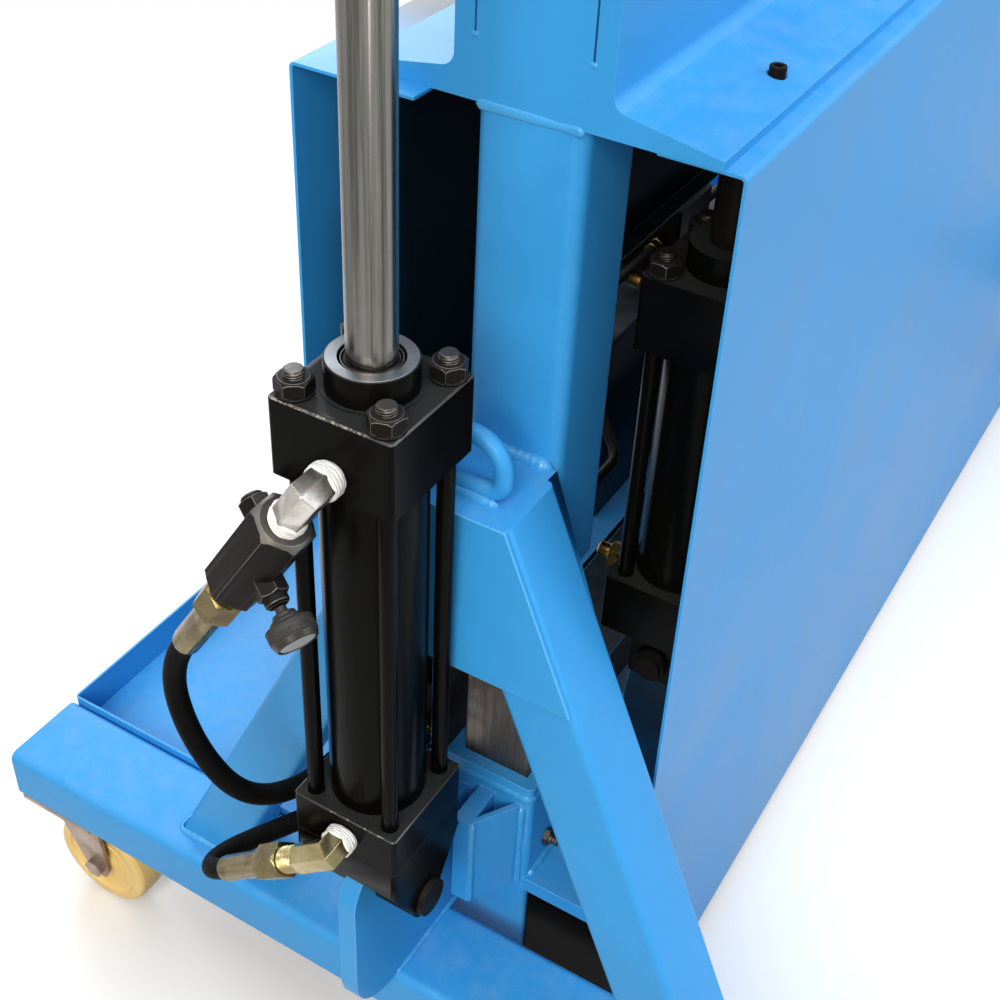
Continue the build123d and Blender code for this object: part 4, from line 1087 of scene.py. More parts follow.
def nut(axle: Axle, size: Hex, turn: float = 0.0) -> Grid:
    """Hexagon whose corners are cut by a cone at both ends.

    The radius at each height is the smaller of the hexagon's and the cone's.

    Args:
        axle: Axis.
        size: Its sizes; without a bore it is solid.
        turn: Angle of the first corner.

    Returns:
        The grid and its closed flag.
    """
    half = size.flats / 2.0
    share = np.array((0.0, 0.0, 0.25, 0.5, 0.75, 1.0))
    fall = [half * (HEX_CORNER - end) * CUT_FALL for end in size.cut]
    levels = np.concatenate((share * fall[0], size.height - share[::-1] * fall[1]))
    cone = np.minimum(half * size.cut[0] + levels / CUT_FALL,
                      half * size.cut[1] + (size.height - levels) / CUT_FALL)
    angles = np.linspace(0.0, TURN, HEX_STEPS, endpoint=False)
    radius = np.minimum(half * hex_outline(angles)[None, :], cone[:, None])
    radius[[0, -1]] = size.bore
    if size.bore > 0.0:
        levels = np.append(levels, 0.0)
        radius = np.vstack((radius, np.full((1, len(angles)), size.bore)))
    along = np.repeat((levels + size.start)[:, None], len(angles), axis=1)
    return axle.ring(radius, np.repeat((angles + turn)[None, :], len(levels), axis=0), along), True


SOCKET_HEAD = Turned(((0, 0, 0), (0, 5, 0), (6.2, 5, 0), (6.8, 4.7, 0), (7, 4.2, 0), (7, 3.0, 0),
                      (6.7, 2.5, 1), (3.2, 2.5, 1), (3.2, 0, 0)))


def socket_head(axle: Axle) -> Grid:
    """Cap screw head: a turned rim whose top falls into a hexagonal socket."""
    return lathe(axle, SOCKET_HEAD, hex_outline)


def thread(axle: Axle, start: float, length: float, radius: float, pitch: float) -> Grid:
    """Screw thread: the radius falls and rises with distance minus turn, and the tip is chamfered.

    Args:
        axle: Axis.
        start: Distance where it starts.
        length: Its length.
        radius: Outer radius.
        pitch: Distance between crests.

    Returns:
        The grid and its closed flag.
    """
    levels = np.linspace(0.0, length, max(8, int(length / pitch * 6)))
    turn = np.linspace(0.0, TURN, 28, endpoint=False)
    along, angle = np.meshgrid(levels, turn, indexing="ij")
    wave = np.abs((along / pitch - angle / TURN) % 1.0 - 0.5) * 2.0
    edge = np.clip((length - along) / (0.8 * pitch), 0.0, 1.0)
    size = radius - 0.5 * pitch * wave - (1.0 - edge) * 0.5 * pitch
    rows = [0, *range(len(levels)), len(levels) - 1]
    size = size[rows]
    size[[0, -1]] = 0.0
    return axle.ring(size, angle[rows], along[rows] + start), True


def knurl(axle: Axle, start: float, length: float, radius: float, teeth: int, depth: float) -> Grid:
    """Diamond knurl: the radius falls from each peak by the larger of two crossed saw-teeth.

    Args:
        axle: Axis.
        start: Distance where it starts.
        length: Its length.
        radius: Radius of the peaks.
        teeth: Peaks round the axis.
        depth: Fall from peak to groove.

    Returns:
        The grid and its closed flag.
    """
    pitch = TURN * radius / teeth
    levels = np.linspace(0.0, length, max(8, int(4.0 * length / pitch)))
    turn = np.linspace(0.0, TURN, 4 * teeth, endpoint=False)
    along, angle = np.meshgrid(levels, turn, indexing="ij")
    lead = angle * teeth / TURN
    saw = np.maximum(np.abs(2.0 * ((lead + along / pitch) % 1.0) - 1.0),
                     np.abs(2.0 * ((lead - along / pitch) % 1.0) - 1.0))
    edge = np.clip(np.minimum(along, length - along) / 1.1, 0.0, 1.0)
    size = radius - depth * saw - 0.9 * (1.0 - edge)
    rows = [0, *range(len(levels)), len(levels) - 1]
    size = size[rows]
    size[[0, -1]] = 0.0
    return axle.ring(size, angle[rows], along[rows] + start), True


def tape(axle: Axle, start: float, length: float, radius: float, seed: float) -> Grid:
    """Wound tape: ridges along it and waves round the turn, falling to the pipe at both ends.

    Args:
        axle: Axis.
        start: Distance where it starts.
        length: Its length.
        radius: Middle radius of the winding.
        seed: Shift of the waves.

    Returns:
        The grid and its closed flag.
    """
    share = np.linspace(0.0, 1.0, 34)
    turn = np.linspace(0.0, TURN, 72, endpoint=False)
    along, angle = np.meshgrid(share, turn, indexing="ij")
    lump = (0.5 * np.sin(3.0 * angle + 7.0 * along + seed) + 0.3 * np.sin(7.0 * angle - 19.0 * along)
            + 0.25 * np.sin(11.0 * angle + 31.0 * along + 2.0 * seed))
    ridge = 2.0 * np.abs((5.0 * along + angle / TURN + 0.05 * lump) % 1.0 - 0.5)
    edge = np.clip(np.minimum(along, 1.0 - along) * 7.0, 0.0, 1.0) ** 0.5
    size = radius - 2.0 + edge * (1.6 + 0.35 * lump + 0.45 * ridge)
    shift = 0.6 * np.sin(2.0 * angle + seed) * (2.0 * along - 1.0)
    size[[0, -1]] = 0.0
    shift[[0, -1]] = 0.0
    return axle.ring(size, angle, start + along * length + shift), True


def mitre(points: Sequence[Sequence[float]], flats: float) -> Grid:
    """Hexagonal bar with a mitred corner.

    Each corner of the hexagon runs along the first leg to the plane that halves the bend, then along the
    second leg to its square end.

    Args:
        points: Start, corner and end in millimetres.
        flats: Width across flats.

    Returns:
        The grid and its closed flag.
    """
    start, corner, finish = (np.asarray(point, float) for point in points)
    first = unit(corner - start)
    second = unit(finish - corner)
    axle = Axle.of(start, first, (0.0, 1.0, 0.0))
    turn = np.arange(6) * TURN / 6.0
    size = flats / 2.0 / math.cos(math.pi / 6.0)
    ring = start + size * (np.cos(turn)[:, None] * axle.first + np.sin(turn)[:, None] * axle.second)
    middle = unit(first + second)
    bend = ring + (((corner - ring) @ middle) / (first @ middle))[:, None] * first
    far = bend + ((finish - bend) @ second)[:, None] * second
    ends = [np.repeat(point[None, :], 6, axis=0) for point in (start, finish)]
    return MM * np.stack((ends[0], ring, bend, far, ends[1])), True


def soft_box(centre: Sequence[float], size: Sequence[float], power: float = 0.16) -> Grid:
    """Box with round edges: the sines and cosines of a sphere's two angles raised to a low power.

    Args:
        centre: Its middle in millimetres.
        size: Its three sizes.
        power: 1 for a ball, towards 0 for a sharp box.

    Returns:
        The grid and its closed flag.
    """
    rise = np.linspace(-math.pi / 2.0, math.pi / 2.0, 25)[:, None]
    turn = np.linspace(0.0, TURN, 48, endpoint=False)[None, :]

    def bent(value: Array) -> Array:
        """Value raised to the power with its sign kept."""
        return np.where(np.abs(value) < 1e-9, 0.0, np.sign(value) * np.abs(value) ** power)

    flat = bent(np.cos(rise))
    shape = np.stack((flat * bent(np.cos(turn)), flat * bent(np.sin(turn)),
                      np.repeat(bent(np.sin(rise)), turn.size, axis=1)), axis=-1)
    return MM * (np.asarray(centre, float) + 0.5 * np.asarray(size, float) * shape), True


def loop_path(centre: Sequence[float], half_x: float, half_y: float, radius: float) -> tuple[Array, Array]:
    """Rounded rectangle in a level plane: four corner arcs joined by straight sides.

    Args:
        centre: Its middle.
        half_x: Half its length along X.
        half_y: Half its length along Y.
        radius: Radius of its corners.

    Returns:
        The closed path and the outward direction at each point.
    """
    turn = (np.arange(4)[:, None] + np.linspace(0.0, 1.0, 7)[None, :]) * TURN / 4.0
    out = np.stack((np.cos(turn), np.sin(turn), np.zeros_like(turn)), axis=-1)
    signs = np.array(((1, 1, 0), (-1, 1, 0), (-1, -1, 0), (1, -1, 0)), float)[:, None, :]
    middle = np.asarray(centre, float) + signs * np.array((half_x - radius, half_y - radius, 0.0))
    path = (middle + radius * out).reshape(-1, 3)
    out = out.reshape(-1, 3)
    return np.vstack((path, path[:1])), np.vstack((out, out[:1]))


def bead(path: Array, out: object, rise: object, size: float, flat: bool = False,
         closed: bool = False) -> Grid:
    """Weld bead of overlapping scales along a path.

    Between two faces it is a quarter round of radius size times a swell, and over a flush joint a low half
    round. The swell is a saw-tooth of the distance plus two slow waves, and falls to nothing at open ends.

    Args:
        path: Points along the joint in millimetres.
        out: Direction away from the first face, one or one for each point.
        rise: Direction away from the second face, or across the joint.
        size: Leg of the bead.
        flat: Whether the joint is flush.
        closed: Whether the path returns to its start.

    Returns:
        The grid and its closed flag.
    """
    route = np.asarray(path, float)
    step = np.linalg.norm(np.diff(route, axis=0), axis=1)
    mark = np.concatenate(([0.0], np.cumsum(step)))
    here = np.linspace(0.0, mark[-1], max(8, int(mark[-1] / 1.3)))

    def along(given: object) -> Array:
        """Values at the even steps along the path."""
        table = np.broadcast_to(np.asarray(given, float), route.shape)
        return np.stack([np.interp(here, mark, column) for column in table.T], axis=1)[:, None, :]

    centre, first, second = along(route), along(out), along(rise)
    seed = float(np.abs(route[0]).sum())
    swell = (1.0 + 0.16 * (0.5 - (here / (0.9 * size)) % 1.0) + 0.09 * np.sin(here / 11.0 + seed)
             + 0.06 * np.sin(here / 4.3 + 2.0 * seed))
    if closed:
        swell[-1] = swell[0]
    else:
        swell = swell * np.clip(np.minimum(here, mark[-1] - here) / size, 0.0, 1.0) ** 0.5
    swell = size * swell[:, None, None]
    angle = np.linspace(0.0, math.pi if flat else math.pi / 2.0, 7)[None, :, None]
    if flat:
        arc = centre + swell * (second * np.cos(angle) + 0.4 * first * np.sin(angle))
        root = centre - 0.2 * swell * first
    else:
        arc = centre + swell * (first * np.cos(angle) + second * np.sin(angle))
        root = centre - 0.2 * swell * (first + second)
    return MM * np.concatenate((arc, root), axis=1), True


@dataclass
class BaseFrame:
    """Rails, braces, columns, posts, covers and tray: welded and painted blue."""

    edge: float = 0.8
    sheet_edge: float = 0.4
    welded: tuple[str, ...] = ("base_rails", "tie_beam", "left_a_frame", "right_a_frame", "columns",
                               "left_anchor", "right_anchor", "bed_flange", "bed_webs", "bar_guides")
    folded: tuple[str, ...] = ("front_cover", "back_cover", "drip_tray")
    # Faces that take the inside finish: painted shade in the hollow under the bed and on the anchors' inner
    # faces.
    dark: tuple[tuple[str, Point], ...] = (
        ("front_cover", BACK), ("back_cover", FRONT), ("front_cover", DOWN), ("back_cover", DOWN),
        ("back_cover", UP), ("bed_flange", DOWN), ("bed_webs", OUT), ("bed_webs", IN), ("drip_tray", FRONT),
        ("tie_beam", UP), ("tie_beam", FRONT), ("left_anchor", IN), ("right_anchor", OUT))
    hollow: Point = (670.0, 170.0, 842.5)
    anchor_deep: float = 560.0
    # Painted shade: the faces of the web under each shelf are painted black where the opening under it is
    # in shadow.
    web: tuple[Point, Point] = ((620.0, -125.0, 140.0), (648.0, -40.0, 212.0))
    lug: tuple[Point, Point] = ((775.0, 10.0, 320.0), (810.0, 36.0, 352.0))
    lug_round: float = 14.0
    lug_shortest: float = 10.0
    lug_turn: Pair = (30.0, 60.0)
    neck: Pair = (650.0, 675.5)
    neck_half: float = 33.5
    neck_in: float = 5.508
    head: Pair = (502.0, 622.0)
    head_half: float = 38.8
    head_slope: float = 0.4621
    brace_front: float = 721.5
    brace_round: float = 5.0
    slack: float = 0.5
    front_in: float = 5.0
    lean: float = 0.0423
    inner_lean: float = 0.0317
    foot: float = 180.0
    plate: float = 2.8
    plate_sunk: float = 0.4
    plate_inset: float = 1.2
    plate_edge: float = 0.7
    # Painted shade: black plates standing where the opening under each shelf is in shadow.
    shade_plate_at: Point = (645.0, -84.0, 161.0)
    shade_plate_size: Point = (4.4, 92.0, 99.0)
    shade_plate_power: float = 0.05

    def build(self) -> None:
        """Dress the painted nodes with rounded, rubbed edges, and paint shade inside: dark faces in the
        hollow under the bed, black webs and plates under the shelves.
        """
        widths = {**dict.fromkeys(self.welded, self.edge), **dict.fromkeys(self.folded, self.sheet_edge)}
        made = {node: CadCopy.soften(node, Slot.BLUE, FINISH.blue, width, FINISH.blue_edge)
                for node, width in widths.items()}
        # Painted shade on the faces in the hollow under the bed and on the anchors.
        for node, facing in self.dark:
            deep = self.anchor_deep if "anchor" in node else self.hollow[0]
            far = np.array((deep, *self.hollow[1:]))
            CadCopy.repaint(made[node], FINISH.inside, facing, far * (-1.0, -1.0, 0.0), far)
        for side, tag in END_NAMES:
            # Painted shade: the web faces under the shelf turn black.
            for facing in (IN, OUT):
                CadCopy.repaint(made[f"{tag}_anchor"], FINISH.black, facing, *self.box(side, self.web))
            CadCopy.round_corners(made[f"{tag}_anchor"], self.lug_round, self.lug_shortest,
                                  *self.box(side, self.lug), turn=self.lug_turn)
            self.shape_end(made[f"{tag}_a_frame"].data)
        self.shade_plates()
        self.apex_plates()

    @staticmethod
    def box(side: int, corners: tuple[Point, Point]) -> Array:
        """Lowest and highest corner of a box at one end of the machine."""
        return np.sort(np.array(corners) * (side, 1.0, 1.0), axis=0)

    def shape_end(self, mesh: bpy.types.Mesh) -> None:
        """Draw an A-frame's neck in to the column, and let both faces of its braces lean out to the foot.

        At the column no point is further out than the column's side, and the neck's edge moves in to where
        the rounding of the brace ends. Points of the front face move out by the lean times their drop below
        the head's top, less a start, and those of the inner face move in by the inner lean times their
        height.

        Args:
            mesh: Merged copy of the A-frame.
        """
        (low, top), (near, far) = self.head, self.neck
        spots = np.empty(3 * len(mesh.vertices), np.float32)
        mesh.vertices.foreach_get("co", spots)
        spots = spots.reshape(-1, 3).astype(float) / MM
        reach, out, high = np.abs(spots[:, 0]), np.abs(spots[:, 1]), spots[:, 2]
        inner, outer = ((high > low - self.slack) & (np.abs(reach - x) < self.slack) for x in (near, far))
        slope = self.head_half + self.head_slope * (top - high)
        out = np.where(inner, np.minimum(out, self.neck_half), out)
        out = np.where(outer & (np.abs(out - slope) < self.slack), out - self.neck_in, out)
        front = reach > self.brace_front - self.brace_round - self.slack
        back = (reach > far - self.slack) & (reach < far + self.brace_round + self.slack)
        reach = reach + np.where(front, self.lean * (top - high) - self.front_in, 0.0)
        reach = reach - np.where(back, self.inner_lean * (high - self.foot), 0.0)
        spots[:, 0] = np.sign(spots[:, 0]) * reach
        spots[:, 1] = np.sign(spots[:, 1]) * out
        mesh.vertices.foreach_set("co", (spots * MM).astype(np.float32).ravel())
        mesh.update()
        mesh.set_sharp_from_angle(angle=math.radians(SHARP_ANGLE))

    def shade_plates(self) -> None:
        """Black plates under the shelves, down behind the rail's edge: painted shade where the opening
        under each shelf is in shadow.
        """
        x, y, z = self.shade_plate_at
        plates = [soft_box((side * x, y, z), self.shade_plate_size, self.shade_plate_power) for side in SIDES]
        Skin.piece("shade_plates", plates, FINISH.black, Slot.BLUE)

    def apex_plates(self) -> None:
        """Face plates on the A-frames' heads: the head's outline, carried out by the plate's thickness."""
        low, top = self.head
        half, high = np.array(((-1, 0), (1, 0), (1, 1), (-1, 1))).T
        drop = (1 - high) * (top - low)
        front = self.brace_front - self.front_in - self.plate_sunk + self.lean * drop
        wide = self.head_half + self.head_slope * drop - self.plate_inset
        grids: list[Grid] = []
        for side in SIDES:
            ring = np.stack((side * front, half * wide, top - drop), axis=1)
            rows = [ring + (side * out, 0.0, 0.0) for out in (0.0, self.plate + self.plate_sunk)]
            ends = [np.repeat(row.mean(axis=0)[None, :], len(row), axis=0) for row in rows]
            grids.append((MM * np.stack((ends[0], *rows, ends[1])), True))
        Skin.piece("apex_plates", grids, FINISH.blue, Slot.BLUE, edge=FINISH.blue_edge,
                   width=self.plate_edge)


@dataclass(frozen=True)
class Seam:
    """Straight weld in millimetres; X is measured towards the end of the machine that it is on."""

    start: Point
    finish: Point
    out: Point
    rise: Point
    leg: float
    flat: bool = False

    def grid(self, side: int, half: int = 1) -> Grid:
        """Bead of the seam.

        Args:
            side: -1 for the left end, 1 for the right.
            half: -1 to mirror it to the other side of the machine's middle.

        Returns:
            The grid and its closed flag.
        """
        flip = np.array((side, half, 1.0))
        path = np.array((self.start, self.finish), float) * flip
        return bead(path, np.array(self.out) * flip, self.rise, self.leg, self.flat)


@dataclass(frozen=True)
class Loop:
    """Weld round a foot in millimetres: a rounded rectangle in a level plane."""

    centre: Point
    half: Pair
    radius: float
    leg: float
    flat: bool = False

    def path(self, side: int) -> tuple[Array, Array]:
        """Path at one end, and the outward direction at each of its points."""
        x, y, z = self.centre
        return loop_path((side * x, y, z), *self.half, self.radius)

    def grid(self, side: int) -> Grid:
        """Bead of the loop at one end."""
        return bead(*self.path(side), UP, self.leg, self.flat, closed=True)


@dataclass
class WeldSeams:
    """Weld beads of the frame and the ram, painted over."""

    crease: float = 70.0
    column: Loop = Loop((616.0, 0.0, 842.0), (34.0, 34.0), 10.0, 6.5)
    column_open: float = 6.0
    column_top: Seam = Seam((650, -33, 841), (650, 33, 841), OUT, UP, 2.8, True)
    column_foot: Seam = Seam((650, -31, 622), (650, 31, 622), OUT, UP, 6.0)
    ring: tuple[Seam, ...] = (Seam((689.5, -22, 622), (689.5, 22, 622), IN, UP, 4.0),
                              Seam((699.5, -22, 622), (699.5, 22, 622), OUT, UP, 4.0))
    apex: tuple[Seam, ...] = (Seam((721.5, -42, 502), (721.5, -91, 502), OUT, DOWN, 2.2),
                              Seam((721.5, 42, 502), (721.5, 91, 502), OUT, DOWN, 2.2))
    lug: tuple[Seam, ...] = (Seam((660, 16, 180), (752, 16, 180), FRONT, UP, 2.6),
                             Seam((660, 30, 180), (752, 30, 180), BACK, UP, 2.6))
    slits: tuple[Seam, ...] = (Seam((650, -37.3, 878), (650, -32.3, 878), OUT, UP, 1.5, True),
                               Seam((650, 32.3, 878), (650, 37.3, 878), OUT, UP, 1.5, True))
    rail: Seam = Seam((675.5, 40, 180), (675.5, 116, 180), UP, OUT, 5.0, True)
    gusset: tuple[Seam, ...] = (Seam((654, -30, 215), (654, -30, 308), OUT, FRONT, 3.4),
                                Seam((688, -8, 215), (688, -8, 308), OUT, FRONT, 2.6))
    shelf: Seam = Seam((650, -38, 225), (582, -38, 225), FRONT, UP, 4.0)
    feet: tuple[Loop, ...] = (Loop((705.3, -215.5, 180.0), (29.8, 27.6), 4.0, 3.6),
                              Loop((705.3, 215.5, 180.0), (29.8, 27.6), 4.0, 3.6))
    post: Loop = Loop((616.0, 0.0, 316.0), (38.0, 38.0), 6.0, 3.5, True)
    bed: Seam = Seam((-640, 47.5, 922), (640, 47.5, 922), BACK, UP, 4.0, True)
    ram: tuple[Seam, ...] = (Seam((-690, 12.5, 1244), (690, 12.5, 1244), BACK, UP, 7.0),
                             Seam((-580, 12.5, 1400), (580, 12.5, 1400), BACK, DOWN, 6.0))

    def build(self) -> None:
        """Lay the beads of both ends, the bed and the ram."""
        for side, tag in END_NAMES:
            self.lay(f"weld_beads_{tag}", self.end(side), Body.FRAME)
        self.lay("weld_beads_bed", [self.bed.grid(1, half) for half in SIDES], Body.FRAME)
        self.lay("weld_beads_ram", [seam.grid(1, half) for seam in self.ram for half in SIDES], Body.RAM)

    def lay(self, name: str, beads: Sequence[Grid], body: Body) -> None:
        """Make one piece of several beads."""
        Skin.piece(name, beads, FINISH.weld, Slot.BLUE, body=body.value, crease=self.crease)

    def end(self, side: int) -> list[Grid]:
        """Beads of one end.

        Args:
            side: -1 for the left end, 1 for the right.

        Returns:
            The grids.
        """
        seams = (self.column_top, self.column_foot, *self.ring, *self.feet, *self.apex, *self.lug,
                 *self.slits, self.rail, self.post, *self.gusset, self.shelf)
        return [self.column_bead(side), *(seam.grid(side) for seam in seams)]

    def column_bead(self, side: int) -> Grid:
        """Bead round a column's top under the bed, open on the side that is flush with the bed's end.

        Args:
            side: -1 for the left end, 1 for the right.

        Returns:
            The grid and its closed flag.
        """
        path, out = self.column.path(side)
        inner = side * path[:, 0] - self.column.centre[0] < self.column.half[0] - self.column_open
        order = np.roll(np.arange(len(path) - 1), -int(np.argmax(~inner[:-1])))
        kept = order[inner[order]]
        return bead(path[kept], out[kept], DOWN, self.column.leg)


@dataclass
class Bed:
    """Bed plate, die and the screws that hold the covers."""

    screw_x: Pair = (180.0, 538.5)
    screw_y: float = 92.0
    seat_z: float = 849.1667
    lip_z: float = 840.0
    die_edge: float = 0.5
    shank: Turned = Turned(((-18, 0), (-18, 2.6), (-17.4, 3), (0.2, 3), (0.2, 0)), 24)
    lip_nut: Hex = Hex(-5.0, 4.9, 10.0, 3.0)

    def build(self) -> None:
        """Dress the plate and the die, and make the screws."""
        CadCopy.soften("bed_top_plate", Slot.STEEL, FINISH.plate)
        CadCopy.soften("die", Slot.TOOL, FINISH.tool, self.die_edge)
        grids: list[Grid] = []
        for side, half, x in product(SIDES, SIDES, self.screw_x):
            axle = Axle.of((side * x, half * self.screw_y, self.seat_z), UP)
            grids.append(socket_head(axle))
            if half > 0 or x < self.screw_x[1]:
                grids.append(lathe(axle, self.shank))
                grids.append(nut(axle.at(self.lip_z - self.seat_z), self.lip_nut))
        Skin.piece("cover_screws_dressed", grids, FINISH.oxide, Slot.OXIDE, "cover_screws")


@dataclass
class Ram:
    """Ram beam with its guide bars, punch, clamps and piston rods; all ride together."""

    holder_z: float = 1203.0
    holder_y: float = -27.0
    clamps: int = 8
    clamp_pitch: float = 143.75
    clamp_turn: float = 0.4
    clamp_head: Hex = Hex(1.5, 6.0, 13.0)
    clamp_washer: Turned = Turned(((0, 0), (0, 9.0), (1.2, 9.0), (1.6, 8.4), (1.6, 0)), 36)
    clamp_shank: Turned = Turned(((-19.5, 0), (-19.5, 3.4), (-19, 4), (0.2, 4), (0.2, 0)), 24)
    rod_x: float = 762.5
    rod_y: float = 23.0
    flange_top: float = 1244.0
    rod_washer: Turned = Turned(((0, 12.2), (0, 22), (2.6, 22), (3, 21.4), (3, 12.2), (0, 12.2)), 56)
    rod_nut: Hex = Hex(3.0, 16.0, 36.0, 11.6)
    rod_nut_turn: float = 0.3
    rod_thread: tuple[float, ...] = (17.0, 9.4, 12.4, 2.0)
    bar_edge: float = 0.5
    holder_edge: float = 0.6
    punch_edge: float = 0.3

    def build(self) -> None:
        """Dress the beam and tools, and make the clamp screws and rod nuts."""
        CadCopy.soften("ram_beam", Slot.BLUE, FINISH.blue, edge=FINISH.blue_edge)
        CadCopy.soften("guide_bars", Slot.STEEL, FINISH.bare, self.bar_edge)
        CadCopy.soften("punch_holder", Slot.STEEL, FINISH.plate, self.holder_edge)
        CadCopy.soften("punch", Slot.TOOL, FINISH.tool, self.punch_edge)
        CadCopy.polish("piston_rods", Slot.CHROME, FINISH.chrome)
        screws: list[Grid] = []
        for index in range(self.clamps):
            x = (index - (self.clamps - 1) / 2.0) * self.clamp_pitch
            axle = Axle.of((x, self.holder_y, self.holder_z), FRONT)
            screws += [nut(axle, self.clamp_head, self.clamp_turn * index), lathe(axle, self.clamp_washer),
                       lathe(axle, self.clamp_shank)]
        Skin.piece("clamp_screws_dressed", screws, FINISH.oxide, Slot.OXIDE, "clamp_screws",
                   body=Body.RAM.value)
        tops: list[Grid] = []
        threads: list[Grid] = []
        for side in SIDES:
            axle = Axle.of((side * self.rod_x, self.rod_y, self.flange_top), UP)
            tops += [lathe(axle, self.rod_washer), nut(axle, self.rod_nut, self.rod_nut_turn)]
            threads.append(thread(axle, *self.rod_thread))
        Skin.piece("rod_nuts_dressed", tops, FINISH.oxide, Slot.OXIDE, "rod_nuts", body=Body.RAM.value,
                   edge=FINISH.worn)
        Skin.piece("rod_end_threads", threads, FINISH.tip, Slot.OXIDE, body=Body.RAM.value)


@dataclass
class WorkCylinders:
    """Tie-rod cylinders: two that draw the ram and two that hold up the bed."""

    rod_x: float = 762.5
    rod_y: float = 23.0
    inner_x: float = 538.5
    inner_y: float = -82.0
    half: float = 39.75
    tie: float = 29.0
    top: float = 727.3
    edge: float = 1.6
    shortest: float = 25.0
    pin_edge: float = 0.5
    tie_nut: Hex = Hex(1.2, 9.6, 19.4, 5.2, (0.97, 0.9))
    tie_turn: float = 0.31
    tie_washer: Turned = Turned(((0, 5.4), (0, 10.6), (1.0, 10.6), (1.4, 10.2), (1.4, 5.4), (0, 5.4)), 36)
    tie_thread: tuple[float, ...] = (9.0, 6.5, 5.9, 1.5)
    collar: Turned = Turned(((0, 18.0), (0, 28.4), (0.5, 28.4), (0.5, 26), (16.6, 26), (17.5, 25.6),
                             (18, 24.8), (18, 18.7), (17.5, 18.0), (0, 18.0)), 72)
    collar_face: Turned = Turned(((17.4, 18.2), (18.1, 18.5), (18.1, 24.7), (17.6, 25.3), (17.4, 18.2)), 72)
    guide: Turned = Turned(((2, 16.2), (2, 17.0), (16.9, 17.0), (17.2, 16.8), (17.2, 16.4), (16.9, 16.2),
                            (2, 16.2)), 72)
    wiper: Turned = Turned(((4, 14.2), (4, 15.9), (14.6, 15.9), (16.0, 15.4), (16.8, 14.8), (16.6, 14.25),
                            (4, 14.2)), 72)
    port_z: Pair = (699.0, 474.0)
    port_stub: Turned = Turned(((0, 0), (0, 6), (5.2, 6), (5.2, 0)), 32)
    port_nut: Hex = Hex(5.0, 9.0, 17.0)
    port_tail: Turned = Turned(((14, 0), (14, 5.2), (15, 5.5), (22.6, 5.5), (23.6, 4.6), (24, 3.4),
                                (20, 2.8), (20, 0)), 32)
    nipple: Point = (625.0, -38.0, 248.0)
    nipple_nut: Hex = Hex(0.0, 5.0, 13.0)
    nipple_tip: Turned = Turned(((4, 0), (4, 4.6), (7, 4.6), (7.6, 3.4), (9, 3.4), (10, 4.4), (11.4, 4.4),
                                 (13, 2.6), (13, 0)), 32)

    def build(self) -> None:
        """Dress the black bodies and make nuts, glands and small fittings."""
        # The blocks' chamfers and rounded long edges take the lighter edge finish: worn paint and a painted
        # highlight.
        for node in ("cylinder_heads", "cylinder_caps"):
            CadCopy.rub(CadCopy.polish(node, Slot.BLACK, FINISH.black, FINISH.black_edge_highlight_and_wear), 1)
        for node in ("rear_clevises", "inner_blocks"):
            block = CadCopy.polish(node, Slot.BLACK, FINISH.black, FINISH.black_edge_highlight_and_wear)
            CadCopy.round_corners(block, self.edge, self.shortest, CAD_LOW / MM, CAD_HIGH / MM, 1)
        for node in ("cylinder_barrels", "tie_rods"):
            CadCopy.polish(node, Slot.BLACK, FINISH.black)
        CadCopy.soften("clevis_pins", Slot.OXIDE, FINISH.oxide, self.pin_edge)
        CadCopy.polish("inner_rods", Slot.STEEL, FINISH.oxide)
        self.tie_nuts()
        self.glands()
        self.inner_ports()

    def tie_nuts(self) -> None:
        """Nuts on the tie rods with their washers, and the threaded tips."""
        nuts: list[Grid] = []
        washers: list[Grid] = []
        tips: list[Grid] = []
        middles = ((self.rod_x, self.rod_y), (self.inner_x, self.inner_y))
        for index, ((x, y), side, dx, dy) in enumerate(product(middles, SIDES, SIDES, SIDES), 1):
            axle = Axle.of((side * x + dx * self.tie, y + dy * self.tie, self.top), UP)
            nuts.append(nut(axle, self.tie_nut, self.tie_turn * index))
            washers.append(lathe(axle, self.tie_washer))
            tips.append(thread(axle, *self.tie_thread))
        Skin.piece("tie_rod_nuts_dressed", nuts, FINISH.oxide, Slot.OXIDE, "tie_rod_nuts", edge=FINISH.worn)
        Skin.piece("tie_rod_washers", washers, FINISH.black, Slot.OXIDE)
        Skin.piece("tie_rod_tips", tips, FINISH.tip, Slot.OXIDE)

    def glands(self) -> None:
        """Rod glands: stepped collar, guide ring and wiper round each piston rod."""
        axles = [Axle.of((side * self.rod_x, self.rod_y, self.top), UP) for side in SIDES]
        shapes = (self.collar, self.collar_face, self.guide, self.wiper)
        collars, faces, guides, wipers = ([lathe(axle, shape) for axle in axles] for shape in shapes)
        Skin.piece("rod_glands_dressed", collars, FINISH.black, Slot.BLACK, "rod_glands")
        Skin.piece("rod_gland_faces", faces, FINISH.collar, Slot.OXIDE)
        Skin.piece("rod_guide_rings", guides, FINISH.plate, Slot.PLATED)
        Skin.piece("rod_wipers", wipers, FINISH.seal, Slot.RUBBER)

